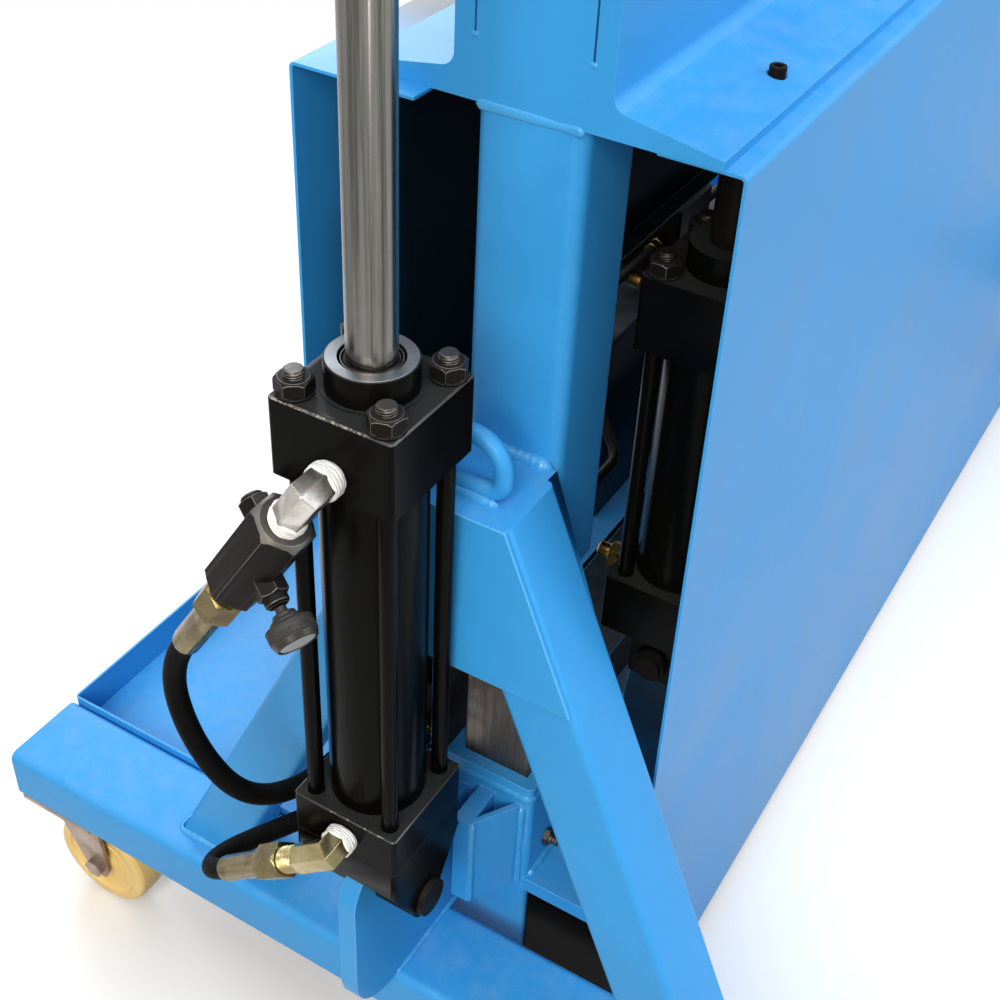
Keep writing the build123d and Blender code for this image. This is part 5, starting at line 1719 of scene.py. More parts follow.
    def inner_ports(self) -> None:
        """Brass fittings on the backs of the inner cylinders, and grease nipples on the posts."""
        grids: list[Grid] = []
        for side, z in product(SIDES, self.port_z):
            axle = Axle.of((side * self.inner_x, self.inner_y + self.half, z), BACK)
            grids += [lathe(axle, self.port_stub), nut(axle, self.port_nut), lathe(axle, self.port_tail)]
        Skin.piece("inner_fittings_dressed", grids, FINISH.brass, Slot.BRASS, "inner_fittings")
        x, y, z = self.nipple
        grids = []
        for side in SIDES:
            axle = Axle.of((side * x, y, z), FRONT)
            grids += [nut(axle, self.nipple_nut), lathe(axle, self.nipple_tip)]
        Skin.piece("guide_nipples", grids, FINISH.tip, Slot.OXIDE)


@dataclass(frozen=True)
class HoseEnd:
    """Hose end in millimetres along its axis: swivel nut, start of the crimped sleeve and its length."""

    nut: Hex
    sleeve: float
    length: float


@dataclass
class ValveChains:
    """Elbow, flow valve with its knob and hose end on each upper port; elbow and hose end on each lower."""

    face_x: float = 802.25
    rod_y: float = 23.0
    upper_x: float = 823.5
    upper_z: float = 691.3
    upper_lean: float = 32.0
    upper_reach: float = 20.0
    lower_x: float = 819.5
    lower_z: float = 395.0
    lower_lean: float = 48.4
    lower_reach: float = 30.0
    elbow_start: float = 6.0
    elbow_flats: float = 19.0
    upper_round: float = 1.1
    lower_round: float = 2.2
    port_stub: Turned = Turned(((0, 0), (0, 9.0), (7, 9.0), (7, 0)), 32)
    port_tape: tuple[float, ...] = (-0.4, 10.4, 11.3)
    port_seeds: Pair = (0.4, 1.7)
    valve_stub: Turned = Turned(((18, 0), (18, 8.5), (27, 8.5), (27, 0)), 32)
    valve_tape: tuple[float, ...] = (18.0, 9.0, 11.0, 2.9)
    upper_thread: tuple[float, ...] = (101.0, 14.0, 10.4, 1.8)
    lower_thread: tuple[float, ...] = (27.0, 22.0, 9.6, 1.8)
    upper_end: HoseEnd = HoseEnd(Hex(111.5, 23.0, 24.0), 135.5, 48.5)
    lower_end: HoseEnd = HoseEnd(Hex(46.0, 26.0, 23.0), 73.0, 48.0)
    inlet_end: HoseEnd = HoseEnd(Hex(0.0, 8.0, 22.0), 8.0, 12.0)
    end_turn: float = 0.26
    sleeve: float = 9.3
    sleeve_steps: int = 64
    hose: float = 7.2
    inlet_x: float = 620.0
    inlets: tuple[Pair, ...] = ((83.0, 358.0), (75.0, 300.0))
    body: Hex = Hex(26.0, 78.0, 33.0, 10.4, (0.90, 0.72))
    body_core: Turned = Turned(((27.5, 0), (27.5, 10.6), (102, 10.6), (102, 0)), 32)
    body_edge: float = 0.3
    mouth_at: float = 28.0
    mouth_half: float = 21.0
    knob_at: float = 70.0
    knob_lean: float = 0.358
    needle_nut: Hex = Hex(12.0, 12.4, 17.0)
    needle_turn: float = 0.2
    needle_cap: Turned = Turned(((24, 0), (24, 6.8), (24.8, 7.2), (28.6, 7.2), (30.2, 5.8), (30.6, 4.4),
                                 (30.6, 0)), 40)
    plug_at: float = 45.0
    plug_nut: Hex = Hex(12.0, 12.0, 17.0)
    plug_turn: float = 0.5
    plug_cap: Turned = Turned(((23.6, 0), (23.6, 6.4), (26.0, 6.4), (26.8, 5.6), (26.8, 2.6), (25.2, 2.6),
                               (25.2, 0)), 32)
    grip_back: Turned = Turned(((31.2, 0), (31.2, 3.4), (35, 3.4), (35, 6.4), (35.6, 7), (38, 7),
                                (38.2, 9.2), (39, 10), (41.2, 10), (41.2, 0)))
    grip_start: float = 41.0
    grip_length: float = 9.4
    grip_radius: float = 14.2
    grip_teeth: int = 44
    grip_depth: float = 0.55
    grip_rim: Turned = Turned(((49.6, 0), (49.6, 13.4), (50.4, 13.6), (53.6, 12.3), (54, 11.8), (54, 11.2),
                               (52.6, 11.0), (52.6, 0)), 64)
    grip_face: Turned = Turned(((52.4, 0), (52.4, 10.6), (53.2, 10.6), (53.6, 10.1), (53.6, 0)))

    def chain(self, side: int, x: float, z: float, lean: float) -> Axle:
        """Axis from an elbow's corner along its hose end, leaning back from straight down."""
        angle = math.radians(lean)
        return Axle.of((side * x, self.rod_y, z), (0, math.sin(angle), -math.cos(angle)), (side, 0, 0))

    def build(self) -> None:
        """Make the fittings of both ends."""
        elbows: list[Grid] = []
        zinc_elbows: list[Grid] = []
        tapes: list[Grid] = []
        valves: list[Grid] = []
        rims: list[Grid] = []
        ends: list[Grid] = []
        mouths: list[Axle] = []
        for side, tag in END_NAMES:
            upper = self.chain(side, self.upper_x, self.upper_z, self.upper_lean)
            lower = self.chain(side, self.lower_x, self.lower_z, self.lower_lean)
            for axle, reach, bars, seed in ((upper, self.upper_reach, elbows, self.port_seeds[0]),
                                            (lower, self.lower_reach, zinc_elbows, self.port_seeds[1])):
                port = Axle.of((side * self.face_x, *axle.origin[1:]), (side, 0, 0))
                leg = (port.at(self.elbow_start).origin, axle.origin, axle.at(reach).origin)
                bars += [mitre(leg, self.elbow_flats), lathe(port, self.port_stub)]
                tapes.append(tape(port, *self.port_tape, seed))
            tapes.append(tape(upper, *self.valve_tape))
            elbows.append(lathe(upper, self.valve_stub))
            valves += self.valve(side, upper)
            mouths.append(upper.at(self.mouth_at))
            rims += [thread(upper, *self.upper_thread), thread(lower, *self.lower_thread)]
            ends += self.hose_end(upper, self.upper_end) + self.hose_end(lower, self.lower_end)
            for y, z in self.inlets:
                ends += self.hose_end(Axle.of((side * self.inlet_x, y, z), (side, 0, 0)), self.inlet_end)
            self.knob(side, tag, upper)
        piece = Skin.piece("upper_elbows_dressed", elbows, FINISH.elbow, Slot.PLATED, "upper_elbows")
        Skin.round_edges(piece, self.upper_round)
        piece = Skin.piece("lower_elbows", zinc_elbows, FINISH.gold, Slot.ZINC)
        Skin.round_edges(piece, self.lower_round)
        Skin.piece("seal_tape", tapes, FINISH.tape, Slot.NYLON, crease=60.0)
        piece = Skin.piece("flow_valves_dressed", valves, FINISH.oxide, Slot.OXIDE, "flow_valves",
                           edge=FINISH.worn, width=self.body_edge)
        for mouth in mouths:
            CadCopy.repaint(piece, FINISH.tip, -mouth.along, mouth.origin - self.mouth_half,
                            mouth.origin + self.mouth_half)
        Skin.piece("union_threads", rims, FINISH.gold, Slot.ZINC, crease=70.0)
        Skin.piece("hose_fittings_dressed", ends, FINISH.zinc, Slot.ZINC, "hose_fittings")

    def hose_end(self, axle: Axle, size: HoseEnd) -> list[Grid]:
        """Swivel nut with the crimped sleeve behind it.

        Args:
            axle: Axis of the hose end.
            size: Its sizes.

        Returns:
            The grids.
        """
        near, far, wide = size.sleeve, size.sleeve + size.length, self.sleeve
        rows = ((near - 0.6, 0, 0), (near - 0.6, wide, 0), (near + 0.2, wide + 0.7, 0),
                (near + 1.4, wide + 0.7, 0), (near + 1.9, wide, 0), (near + 3.0, wide, 1),
                (far - 2.4, wide, 1), (far - 1.2, wide - 0.4, 0), (far, wide - 1.2, 0), (far, self.hose, 0),
                (far - 4.0, self.hose, 0), (far - 4.0, 0, 0))
        sleeve = Turned(rows, self.sleeve_steps)
        return [nut(axle, size.nut, self.end_turn), lathe(axle, sleeve, crimp_outline)]

    def stem(self, side: int, upper: Axle) -> Axle:
        """Axis of a knob's stem from the valve's middle line.

        Args:
            side: End of the machine.
            upper: Axis of the chain.

        Returns:
            The axis.
        """
        lean = math.radians(self.upper_lean)
        across = math.sqrt(1.0 - self.knob_lean ** 2)
        return Axle.of(upper.at(self.knob_at).origin,
                       (side * self.knob_lean, -across * math.cos(lean), -across * math.sin(lean)))

    def valve(self, side: int, upper: Axle) -> list[Grid]:
        """Hexagonal valve body with the housing of its needle and a blanking plug.

        Args:
            side: End of the machine.
            upper: Axis of the chain.

        Returns:
            The grids.
        """
        stem = self.stem(side, upper)
        plug = Axle.of(upper.at(self.plug_at).origin, -stem.along)
        return [nut(upper, self.body, TURN / 12.0), lathe(upper, self.body_core),
                nut(stem, self.needle_nut, self.needle_turn), lathe(stem, self.needle_cap),
                nut(plug, self.plug_nut, self.plug_turn), lathe(plug, self.plug_cap)]

    def knob(self, side: int, tag: str, upper: Axle) -> None:
        """Knurled knob with its collar, stem and pale end face.

        Args:
            side: End of the machine.
            tag: Name of the end.
            upper: Axis of the chain.
        """
        stem = self.stem(side, upper)
        body = f"knob_{tag}"
        teeth = knurl(stem, self.grip_start, self.grip_length, self.grip_radius, self.grip_teeth,
                      self.grip_depth)
        grip = [lathe(stem, self.grip_back), teeth, lathe(stem, self.grip_rim)]
        Skin.piece(f"flow_knob_{tag}_dressed", grip, FINISH.knob, Slot.OXIDE, f"flow_knob_{tag}", body=body)
        face = [lathe(stem, self.grip_face)]
        Skin.piece(f"flow_knob_{tag}_face", face, FINISH.face, Slot.PLATED, body=body)


@dataclass
class Castors:
    """Four swivel castors under the ends of the rails."""

    x: float = 715.0
    y: float = 380.0
    trail: float = 22.0
    wheel: float = 50.0
    wheel_steps: int = 72
    edge: float = 0.6
    plate_low: float = 121.0
    bolt_x: float = 28.0
    bolt_y: float = 31.0
    bolt: Hex = Hex(0.0, 4.4, 10.0)
    bolt_turn: float = 0.2
    tread: tuple[Pair, ...] = (
        (17.0, 6.3), (17.0, 12.0), (16.2, 13.4), (13.6, 14.4), (12.6, 17.0), (12.6, 34.5), (13.6, 37.0),
        (15.6, 38.4), (16.0, 40.0), (16.0, 44.5), (15.2, 47.2), (12.6, 49.0), (8.0, 49.8), (0.0, 50.0))
    rib: tuple[Pair, ...] = (
        (12.0, 23.0), (13.4, 23.6), (13.4, 25.4), (12.0, 26.0), (12.0, 23.0))
    rib_steps: int = 56

    def build(self) -> None:
        """Dress the forks and plates, and make the wheels and bolts."""
        CadCopy.soften("castor_plates", Slot.ZINC, FINISH.fork, self.edge)
        bolts: list[Grid] = []
        for (end, lengthwise), (side, tag) in product(((-1, "front"), (1, "back")), END_NAMES):
            name = f"{lengthwise}_{tag}"
            CadCopy.soften(f"castor_fork_{name}", Slot.ZINC, FINISH.fork, self.edge)
            axle = Axle.of((side * self.x, end * (self.y - self.trail), self.wheel), OUT)
            Skin.piece(f"castor_wheel_{name}_dressed", self.rim(axle), FINISH.nylon, Slot.NYLON,
                       f"castor_wheel_{name}", body=f"wheel_{name}")
            for dx, dy in product(SIDES, SIDES):
                spot = Axle.of((side * self.x + dx * self.bolt_x, end * self.y + dy * self.bolt_y,
                                self.plate_low), DOWN)
                bolts.append(nut(spot, self.bolt, self.bolt_turn * (dx + 2 * dy)))
        Skin.piece("castor_bolts", bolts, FINISH.zinc, Slot.ZINC)

    def rim(self, axle: Axle) -> list[Grid]:
        """Wheel turned from half a profile and its mirror image, with a raised ring on each side.

        Args:
            axle: Axis of the wheel.

        Returns:
            The grids.
        """
        half = np.array(self.tread)
        profile = np.vstack((half, half[-2::-1] * (-1.0, 1.0), half[:1]))
        ribs = [np.array(self.rib) * (face, 1.0) for face in SIDES]
        return [lathe(axle, Turned(profile.tolist(), self.wheel_steps)),
                *(lathe(axle, Turned(rows.tolist(), self.rib_steps)) for rows in ribs)]


@dataclass
class HydraulicUnit:
    """Oil tank with motor, pump, control valve, junction blocks and steel pipes."""

    motor: Point = (100.0, 311.0, 451.0)
    motor_half: float = 105.0
    cast_edge: float = 1.2
    block_edge: float = 0.8
    fins: Turned = Turned(((-74, 57, 0), (-74, 63, 1), (58, 63, 1), (58, 57, 0), (-74, 57, 0)), 320)
    cowl: Turned = Turned(((60, 57), (60, 61), (62, 62), (102, 62), (107, 59.5), (108, 56), (108, 50),
                           (106.4, 50), (106.4, 0), (101, 0), (60, 57)), 72)
    grille: tuple[float, ...] = (8.0, 16.0, 24.0, 32.0, 40.0)
    grille_wide: float = 2.4
    grille_out: Pair = (1.2, 2.6)
    grille_steps: int = 56
    terminal_top: float = 545.0
    terminal_lid: Point = (94.0, 74.0, 6.0)
    terminal_sunk: float = 2.0
    terminal_power: float = 0.12
    lid_bolts: Pair = (38.0, 29.0)
    lid_bolt: Hex = Hex(3.6, 3.0, 7.0)
    pump_bolts: int = 6
    pump_ring: float = 33.0
    pump_out: float = 80.0
    pump_bolt: Hex = Hex(0.0, 5.0, 10.0)
    foot_bolts: Pair = (62.0, 36.0)
    foot_bolt: Hex = Hex(60.0, 6.0, 13.0)
    tank_low: float = 147.0
    tank_top: float = 377.0
    tank_x: Pair = (-150.0, 230.0)
    tank_y: Pair = (165.0, 385.0)
    seam_drop: float = 5.0
    seam_round: float = 10.0
    seam_leg: float = 4.0
    lid_screws: int = 5
    lid_inset: Pair = (14.0, 10.0)
    drain: Pair = (40.0, 22.0)
    drain_nut: Hex = Hex(0.0, 8.0, 19.0)
    drain_washer: Turned = Turned(((0, 0), (0, 13), (1.6, 13), (1.6, 0)), 40)
    filler: Pair = (-105.0, 340.0)
    filler_neck: Turned = Turned(((0, 0), (0, 26), (3, 26), (4, 24.6), (4, 22.4), (8.4, 22.4),
                                  (8.4, 0)), 56)
    filler_start: float = 8.0
    filler_length: float = 15.0
    filler_radius: float = 23.4
    filler_teeth: int = 40
    filler_depth: float = 0.9
    filler_lid: Turned = Turned(((22.6, 0), (22.6, 20), (24, 19), (24.6, 14), (24.6, 0)))
    sight: Point = (-70.0, 388.0, 275.0)
    sight_frame: Point = (26.0, 8.0, 132.0)
    sight_pane: Point = (13.0, 5.0, 96.0)
    sight_out: float = 3.0
    sight_power: Pair = (0.2, 0.3)
    valve: Pair = (40.0, 208.0)
    valve_top: float = 501.0
    valve_half: Pair = (28.0, 40.0)
    valve_screws: Pair = (20.0, 15.0)
    coil_z: float = 479.0
    coil: Turned = Turned(((2, 0), (2, 20), (3, 21), (40, 21), (42, 20), (42, 0)))
    coil_plug: Point = (28.0, 28.0, 24.0)
    coil_plug_at: Pair = (49.0, 24.0)
    coil_power: float = 0.2
    coil_nut: Hex = Hex(42.0, 7.0, 24.0)
    coil_end: Turned = Turned(((48, 0), (48, 8), (51, 7), (51.6, 0)), 32)
    block_x: float = 560.0
    pipe_z: float = 417.0
    pipe_spread: float = 20.0
    pipe_ends: tuple[Pair, ...] = ((83.0, 358.0), (75.0, 300.0))
    pipe_nuts: tuple[Hex, ...] = (Hex(0.0, 12.0, 17.0, 5.2), Hex(13.0, 10.0, 15.0, 5.2))

    def build(self) -> None:
        """Dress the nodes and add what such a unit carries."""
        CadCopy.soften("oil_tank", Slot.TANK, FINISH.tank, self.cast_edge)
        CadCopy.soften("pump_motor", Slot.GREY, FINISH.grey, self.cast_edge)
        CadCopy.soften("control_valve", Slot.VALVE, FINISH.oxide, self.block_edge)
        CadCopy.soften("junction_blocks", Slot.VALVE, FINISH.oxide, self.block_edge)
        CadCopy.polish("supply_pipes", Slot.PLATED, FINISH.oxide)
        self.motor_parts()
        self.tank_parts()
        self.valve_parts()

    @staticmethod
    def four(x: float, y: float, z: float, out: Pair) -> list[Axle]:
        """Upright axes at four corners round a point, by the corners' distances along X and Y."""
        return [Axle.of((x + dx * out[0], y + dy * out[1], z), UP) for dx, dy in product(SIDES, SIDES)]

    def motor_parts(self) -> None:
        """Finned shell, fan cowl with its grille, terminal lid and pump bolts."""
        x, y, z = self.motor
        axle = Axle.of(self.motor, OUT, BACK)
        shell = [lathe(axle, self.fins, fin_outline), lathe(axle, self.cowl)]
        low, high = (self.motor_half + out for out in self.grille_out)
        for inner in self.grille:
            outer = inner + self.grille_wide
            rows = ((low, inner), (high, inner), (high, outer), (low, outer), (low, inner))
            shell.append(lathe(axle, Turned(rows, self.grille_steps)))
        lid_z = self.terminal_top + self.terminal_lid[2] / 2.0 - self.terminal_sunk
        shell.append(soft_box((x, y, lid_z), self.terminal_lid, self.terminal_power))
        Skin.piece("motor_shell", shell, FINISH.grey, Slot.GREY)
        bolts = [nut(spot, self.lid_bolt) for spot in self.four(x, y, self.terminal_top, self.lid_bolts)]
        for turn in (np.arange(self.pump_bolts) * TURN / self.pump_bolts).tolist():
            spot = (x - self.motor_half - self.pump_out, y + self.pump_ring * math.cos(turn),
                    z + self.pump_ring * math.sin(turn))
            bolts.append(nut(Axle.of(spot, IN), self.pump_bolt))
        bolts += [nut(spot, self.foot_bolt) for spot in self.four(x, y, self.tank_top, self.foot_bolts)]
        Skin.piece("motor_bolts", bolts, FINISH.oxide, Slot.OXIDE)

    def tank_parts(self) -> None:
        """Lid rim, lid screws, filler cap, sight glass and drain plug."""
        (left, right), (front, back) = self.tank_x, self.tank_y
        middle = ((left + right) / 2.0, (front + back) / 2.0, self.tank_top - self.seam_drop)
        path, out = loop_path(middle, (right - left) / 2.0, (back - front) / 2.0, self.seam_round)
        rim = [bead(path, out, UP, self.seam_leg, flat=True, closed=True)]
        Skin.piece("tank_lid_seam", rim, FINISH.tank, Slot.TANK, crease=70.0)
        in_x, in_y = self.lid_inset
        places = product(np.linspace(left + in_x, right - in_x, self.lid_screws).tolist(),
                         (front + in_y, back - in_y))
        screws = [socket_head(Axle.of((x, y, self.tank_top), UP)) for x, y in places]
        drain = Axle.of((left + self.drain[0], back, self.tank_low + self.drain[1]), BACK)
        screws += [nut(drain, self.drain_nut), lathe(drain, self.drain_washer)]
        Skin.piece("tank_screws", screws, FINISH.oxide, Slot.OXIDE)
        filler = Axle.of((*self.filler, self.tank_top), UP)
        cap = [knurl(filler, self.filler_start, self.filler_length, self.filler_radius, self.filler_teeth,
                     self.filler_depth), lathe(filler, self.filler_neck), lathe(filler, self.filler_lid)]
        Skin.piece("tank_filler_cap", cap, FINISH.dark, Slot.OXIDE)
        x, y, z = self.sight
        holder = [soft_box(self.sight, self.sight_frame, self.sight_power[0])]
        Skin.piece("sight_glass_frame", holder, FINISH.dark, Slot.OXIDE)
        pane = [soft_box((x, y + self.sight_out, z), self.sight_pane, self.sight_power[1])]
        Skin.piece("sight_glass_pane", pane, FINISH.glass, Slot.BRASS)

    def valve_parts(self) -> None:
        """Coils with their plugs and nuts, valve screws and pipe nuts."""
        x, y = self.valve
        coils: list[Grid] = []
        nuts: list[Grid] = []
        for face in SIDES:
            axle = Axle.of((x + face * self.valve_half[0], y, self.coil_z), (face, 0, 0))
            plug = (x + face * self.coil_plug_at[0], y, self.coil_z + self.coil_plug_at[1])
            coils += [lathe(axle, self.coil), soft_box(plug, self.coil_plug, self.coil_power)]
            nuts += [nut(axle, self.coil_nut), lathe(axle, self.coil_end)]
            spots = [Axle.of((x + face * self.valve_half[1], y + shift * self.pipe_spread, self.pipe_z),
                             (face, 0, 0)) for shift in SIDES]
            spots += [Axle.of((face * self.block_x, *place), (-face, 0, 0)) for place in self.pipe_ends]
            nuts += [nut(spot, size) for spot in spots for size in self.pipe_nuts]
        Skin.piece("valve_coils", coils, FINISH.dark, Slot.OXIDE)
        Skin.piece("pipe_nuts", nuts, FINISH.zinc, Slot.ZINC)
        screws = [socket_head(spot) for spot in self.four(x, y, self.valve_top, self.valve_screws)]
        Skin.piece("valve_screws", screws, FINISH.oxide, Slot.OXIDE)


@dataclass
class ControlBox:
    """Box on the front cover with a start button and an emergency stop."""

    x: float = 530.0
    front: float = -206.622
    middle_z: float = 652.0
    edge: float = 1.5
    start_z: float = 602.0
    stop_z: float = 692.0
    start_collar: Turned = Turned(((0, 11.8), (0, 16), (2.4, 16), (3.2, 15), (3.2, 12.4), (2.6, 11.8),
                                   (0, 11.8)), 56)
    stop_collar: Turned = Turned(((0, 20.8), (0, 30), (2.0, 30), (3.0, 28.6), (3.0, 21.6), (2.4, 20.8),
                                  (0, 20.8)), 64)
    start_cap: Turned = Turned(((-11, 0), (-11, 7.6), (3.6, 7.6), (3.6, 10.4), (4.2, 10.9), (8.8, 10.9),
                                (10.0, 10.2), (10.4, 9.0), (9.8, 0)), 56)
    stop_cap: Turned = Turned(((-11, 0), (-11, 13.8), (3.6, 13.8), (3.6, 18.6), (4.6, 19.8), (9.0, 19.9),
                               (12.4, 18.8), (14.4, 15.6), (15.3, 9.0), (15.5, 0)), 64)
    screws: Pair = (66.0, 86.0)
    gland: Point = (-40.0, 42.0, -100.0)
    gland_nut: Hex = Hex(0.0, 8.0, 24.0)
    gland_plug: Turned = Turned(((8, 0), (8, 10.5), (18, 10), (21, 7), (21, 0)), 40)

    def build(self) -> None:
        """Dress the box and make collars, caps, screws and the cable gland."""
        CadCopy.soften("control_box", Slot.GREY, FINISH.grey, self.edge)
        start = Axle.of((self.x, self.front, self.start_z), FRONT)
        stop = Axle.of((self.x, self.front, self.stop_z), FRONT)
        Skin.piece("start_collar", [lathe(start, self.start_collar)], FINISH.dark, Slot.OXIDE)
        Skin.piece("stop_collar", [lathe(stop, self.stop_collar)], FINISH.yellow, Slot.BRASS)
        Skin.piece("start_button_dressed", [lathe(start, self.start_cap)], FINISH.green, Slot.GREEN,
                   "start_button", body=Body.START.value)
        Skin.piece("emergency_stop_dressed", [lathe(stop, self.stop_cap)], FINISH.red, Slot.RED,
                   "emergency_stop", body=Body.STOP.value)
        out_x, out_z = self.screws
        screws = [socket_head(Axle.of((self.x + dx * out_x, self.front, self.middle_z + dz * out_z), FRONT))
                  for dx, dz in product(SIDES, SIDES)]
        Skin.piece("box_screws", screws, FINISH.oxide, Slot.OXIDE)
        gland = Axle.of(np.array((self.x, self.front, self.middle_z)) + self.gland, DOWN)
        plugs = [nut(gland, self.gland_nut), lathe(gland, self.gland_plug)]
        Skin.piece("box_gland", plugs, FINISH.dark, Slot.OXIDE)


@dataclass
class Hoses:
    """The four pressure hoses from the cylinders to the junction blocks."""

    radius: float = 0.0075
    upper_length: float = 0.335
    lower_length: float = 0.222
    upper: tuple[tuple[float, float, float], ...] = (
        (0.8235, 0.120505, 0.535259), (0.8235, 0.139582, 0.504729), (0.8225, 0.128, 0.440),
        (0.808, 0.103, 0.385), (0.765, 0.085, 0.364), (0.700, 0.083, 0.358), (0.640, 0.083, 0.358))
    lower: tuple[tuple[float, float, float], ...] = (
        (0.8195, 0.113484, 0.314665), (0.8195, 0.133674, 0.296739), (0.7965, 0.139, 0.290),
        (0.7575, 0.116, 0.292), (0.6965, 0.075, 0.300), (0.640, 0.075, 0.300))

    def build(self) -> None:
        """Lay every hose as one smooth spline along its route."""
        for side, tag in END_NAMES:
            for level, route, length in (("upper", self.upper, self.upper_length),
                                         ("lower", self.lower, self.lower_length)):
                self.lay(f"hose_{level}_{tag}", [(side * x, y, z) for x, y, z in route], length)

    def lay(self, node: str, route: Sequence[tuple[float, float, float]], length: float) -> None:
        """One hose.

        Args:
            node: CAD node that it stands for.
            route: Control points in metres.
            length: Its length.
        """
        curve = bpy.data.curves.new(f"{node}_line", "CURVE")
        curve.dimensions = "3D"
        spline = curve.splines.new("NURBS")
        spline.points.add(len(route) - 1)
        spline.points.foreach_set("co", np.array([(*p, 1.0) for p in route], np.float32).ravel())
        spline.order_u = 3
        spline.use_endpoint_u = True
        spline.resolution_u = 16
        curve.bevel_depth = self.radius
        curve.bevel_resolution = 8
        curve.use_fill_caps = True
        curve.materials.append(FINISH.hose)
        piece = bpy.data.objects.new(f"{node}_rubber", curve)
        bpy.context.scene.collection.objects.link(piece)
        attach(piece, Body.FRAME.value)
        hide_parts(node)
        LOG.info("hose %s", node)


COOL: Colour = (0.86, 0.93, 1.0)
WARM: Colour = (1.0, 0.95, 0.86)


@dataclass(frozen=True)
class Lamp:
    """Square soft light: where it stands, the point it faces, the side of its panel, watts and colour."""

    name: str
    spot: Point
    aim: Point
    size: float
    power: float
    tint: Colour


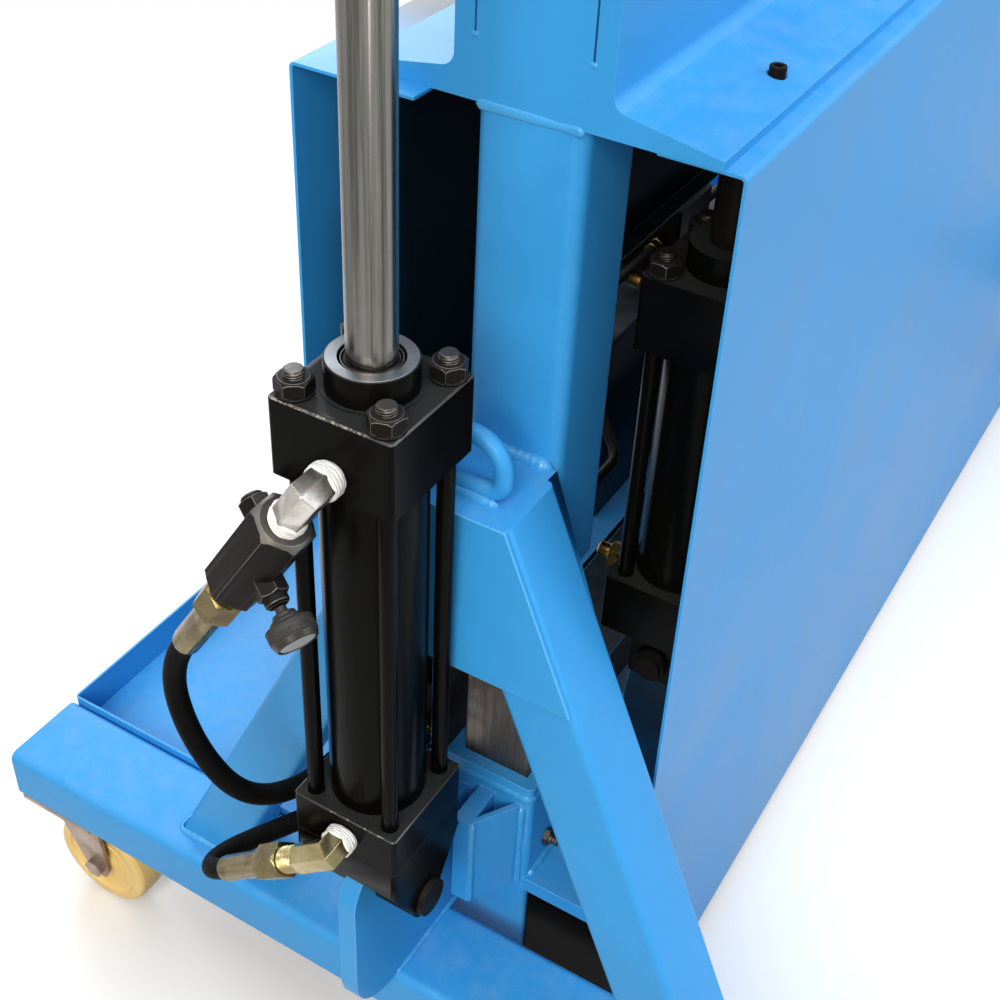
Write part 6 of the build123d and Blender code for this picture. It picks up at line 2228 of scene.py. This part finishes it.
@dataclass
class Studio:
    """Camera at the photograph's place, soft light and a pale floor."""

    eye: Point = (-1.278984, -0.343332, 1.159503)
    right: Point = (0.513921, -0.856759, 0.043008)
    down: Point = (-0.520333, -0.351193, -0.778406)
    ahead: Point = (0.682011, 0.37766, -0.626286)
    lens: float = 52.1176
    sensor: float = 36.0
    clip: Pair = (0.05, 50.0)
    sky: float = 0.16
    bounce: float = 0.25
    fade: Pair = (0.8, 1.7)
    floor_half: float = 6.0
    floor_grain: float = 3.0
    pale: tuple[Colour, Colour] = ((0.94, 0.92, 0.915), (0.97, 0.95, 0.945))
    lamps: tuple[Lamp, ...] = (
        Lamp("roof_panel", (-0.3, -0.2, 4.2), (-0.3, 0.0, 0.6), 4.0, 142.0, COOL),
        Lamp("back_panel", (2.0, 2.6, 2.5), (-0.3, 0.0, 0.6), 2.2, 90.0, COOL),
        Lamp("end_panel", (-3.4, -0.8, 2.4), (-0.6, 0.0, 0.6), 2.2, 128.0, WARM),
        Lamp("front_panel", (1.0, -3.4, 2.6), (0.1, 0.0, 0.6), 2.4, 84.0, COOL))

    def build(self) -> None:
        """Set camera, lights, floor and world."""
        self.camera()
        for lamp in self.lamps:
            self.light(lamp)
        self.floor()
        self.world()
        bpy.context.scene.view_settings.view_transform = "Standard"

    @staticmethod
    def put(data: bpy.types.ID, axes: Sequence[Sequence[float]], spot: Point) -> Piece:
        """Link an object to the scene, turned to its axes.

        Args:
            data: Camera or light.
            axes: Its X, Y and Z directions.
            spot: Where it stands.

        Returns:
            The object.
        """
        turn = np.eye(4)
        turn[:3, :] = np.column_stack((*axes, spot))
        made = bpy.data.objects.new(data.name, data)
        bpy.context.scene.collection.objects.link(made)
        made.matrix_world = Matrix(turn.tolist())
        return made

    def camera(self) -> None:
        """Place the camera from its measured axes."""
        data = bpy.data.cameras.new("photo_camera")
        data.sensor_width = self.sensor
        data.lens = self.lens
        data.clip_start, data.clip_end = self.clip
        axes = (self.right, -np.array(self.down), -np.array(self.ahead))
        bpy.context.scene.camera = self.put(data, axes, self.eye)

    def light(self, lamp: Lamp) -> None:
        """Put one square soft light in the scene.

        Args:
            lamp: Its values.
        """
        data = bpy.data.lights.new(lamp.name, "AREA")
        data.size = lamp.size
        data.energy = lamp.power
        data.color = lamp.tint
        axle = Axle.of(lamp.spot, np.subtract(lamp.spot, lamp.aim))
        self.put(data, (axle.first, axle.second, axle.along), lamp.spot)

    @staticmethod
    def seen(sheet: NodeSheet) -> Wire:
        """One where the ray comes from the camera, a mirror or glass.

        Args:
            sheet: Sheet of the material or the world.

        Returns:
            The value socket.
        """
        path = sheet.add("ShaderNodeLightPath")
        first = sheet.math("MAXIMUM", path.outputs["Is Camera Ray"], path.outputs["Is Glossy Ray"])
        return sheet.math("MAXIMUM", first, path.outputs["Is Transmission Ray"])

    def floor(self) -> None:
        """Wide pale floor that keeps the shadow, and turns plain white far from the machine."""
        ends = (-self.floor_half, self.floor_half)
        flat = np.array([[(x, y, 0.0) for x in ends] for y in ends])
        mesh = Skin.mesh("studio_floor", [(flat, False)])
        made = bpy.data.materials.new("pale_floor")
        made.use_nodes = True
        sheet = NodeSheet(made.node_tree)
        pale = sheet.blend(sheet.noise(sheet.coords(), self.floor_grain, 3.0), *self.pale)
        colour = sheet.blend(self.seen(sheet), (self.bounce,) * 3, pale)
        matt = sheet.add("ShaderNodeBsdfDiffuse")
        sheet.feed(matt.inputs["Color"], colour)
        white = sheet.add("ShaderNodeEmission")
        reach = sheet.add("ShaderNodeVectorMath", operation="LENGTH")
        sheet.feed(reach.inputs[0], sheet.coords())
        far = sheet.span(reach.outputs["Value"], *self.fade)
        mixed = sheet.add("ShaderNodeMixShader")
        sheet.feed(mixed.inputs[0], sheet.math("MULTIPLY", far, self.seen(sheet)))
        sheet.feed(mixed.inputs[1], matt.outputs["BSDF"])
        sheet.feed(mixed.inputs[2], white.outputs["Emission"])
        end = sheet.add("ShaderNodeOutputMaterial")
        sheet.tree.links.new(mixed.outputs["Shader"], end.inputs["Surface"])
        mesh.materials.append(made)
        ground = bpy.data.objects.new("studio_floor", mesh)
        bpy.context.scene.collection.objects.link(ground)

    def world(self) -> None:
        """White surroundings to the eye, a soft even light otherwise."""
        world = bpy.data.worlds.new("studio")
        bpy.context.scene.world = world
        world.use_nodes = True
        sheet = NodeSheet(world.node_tree)
        back = sheet.add("ShaderNodeBackground")
        back.inputs["Color"].default_value = (1.0, 1.0, 1.0, 1.0)
        level = sheet.math("MULTIPLY_ADD", self.seen(sheet), 1.0 - self.sky, self.sky)
        sheet.feed(back.inputs["Strength"], level)
        end = sheet.add("ShaderNodeOutputWorld")
        sheet.tree.links.new(back.outputs["Background"], end.inputs["Surface"])


def main() -> None:
    """Build every sub-assembly in order."""
    logging.basicConfig(level=logging.INFO, format="%(message)s")
    for part in (Studio(), Hoses(), BaseFrame(), WeldSeams(), Bed(), Ram(), WorkCylinders(), ValveChains(),
                 Castors(), HydraulicUnit(), ControlBox()):
        LOG.info("sub-assembly %s", type(part).__name__)
        part.build()


if __name__ == "__main__":
    main()
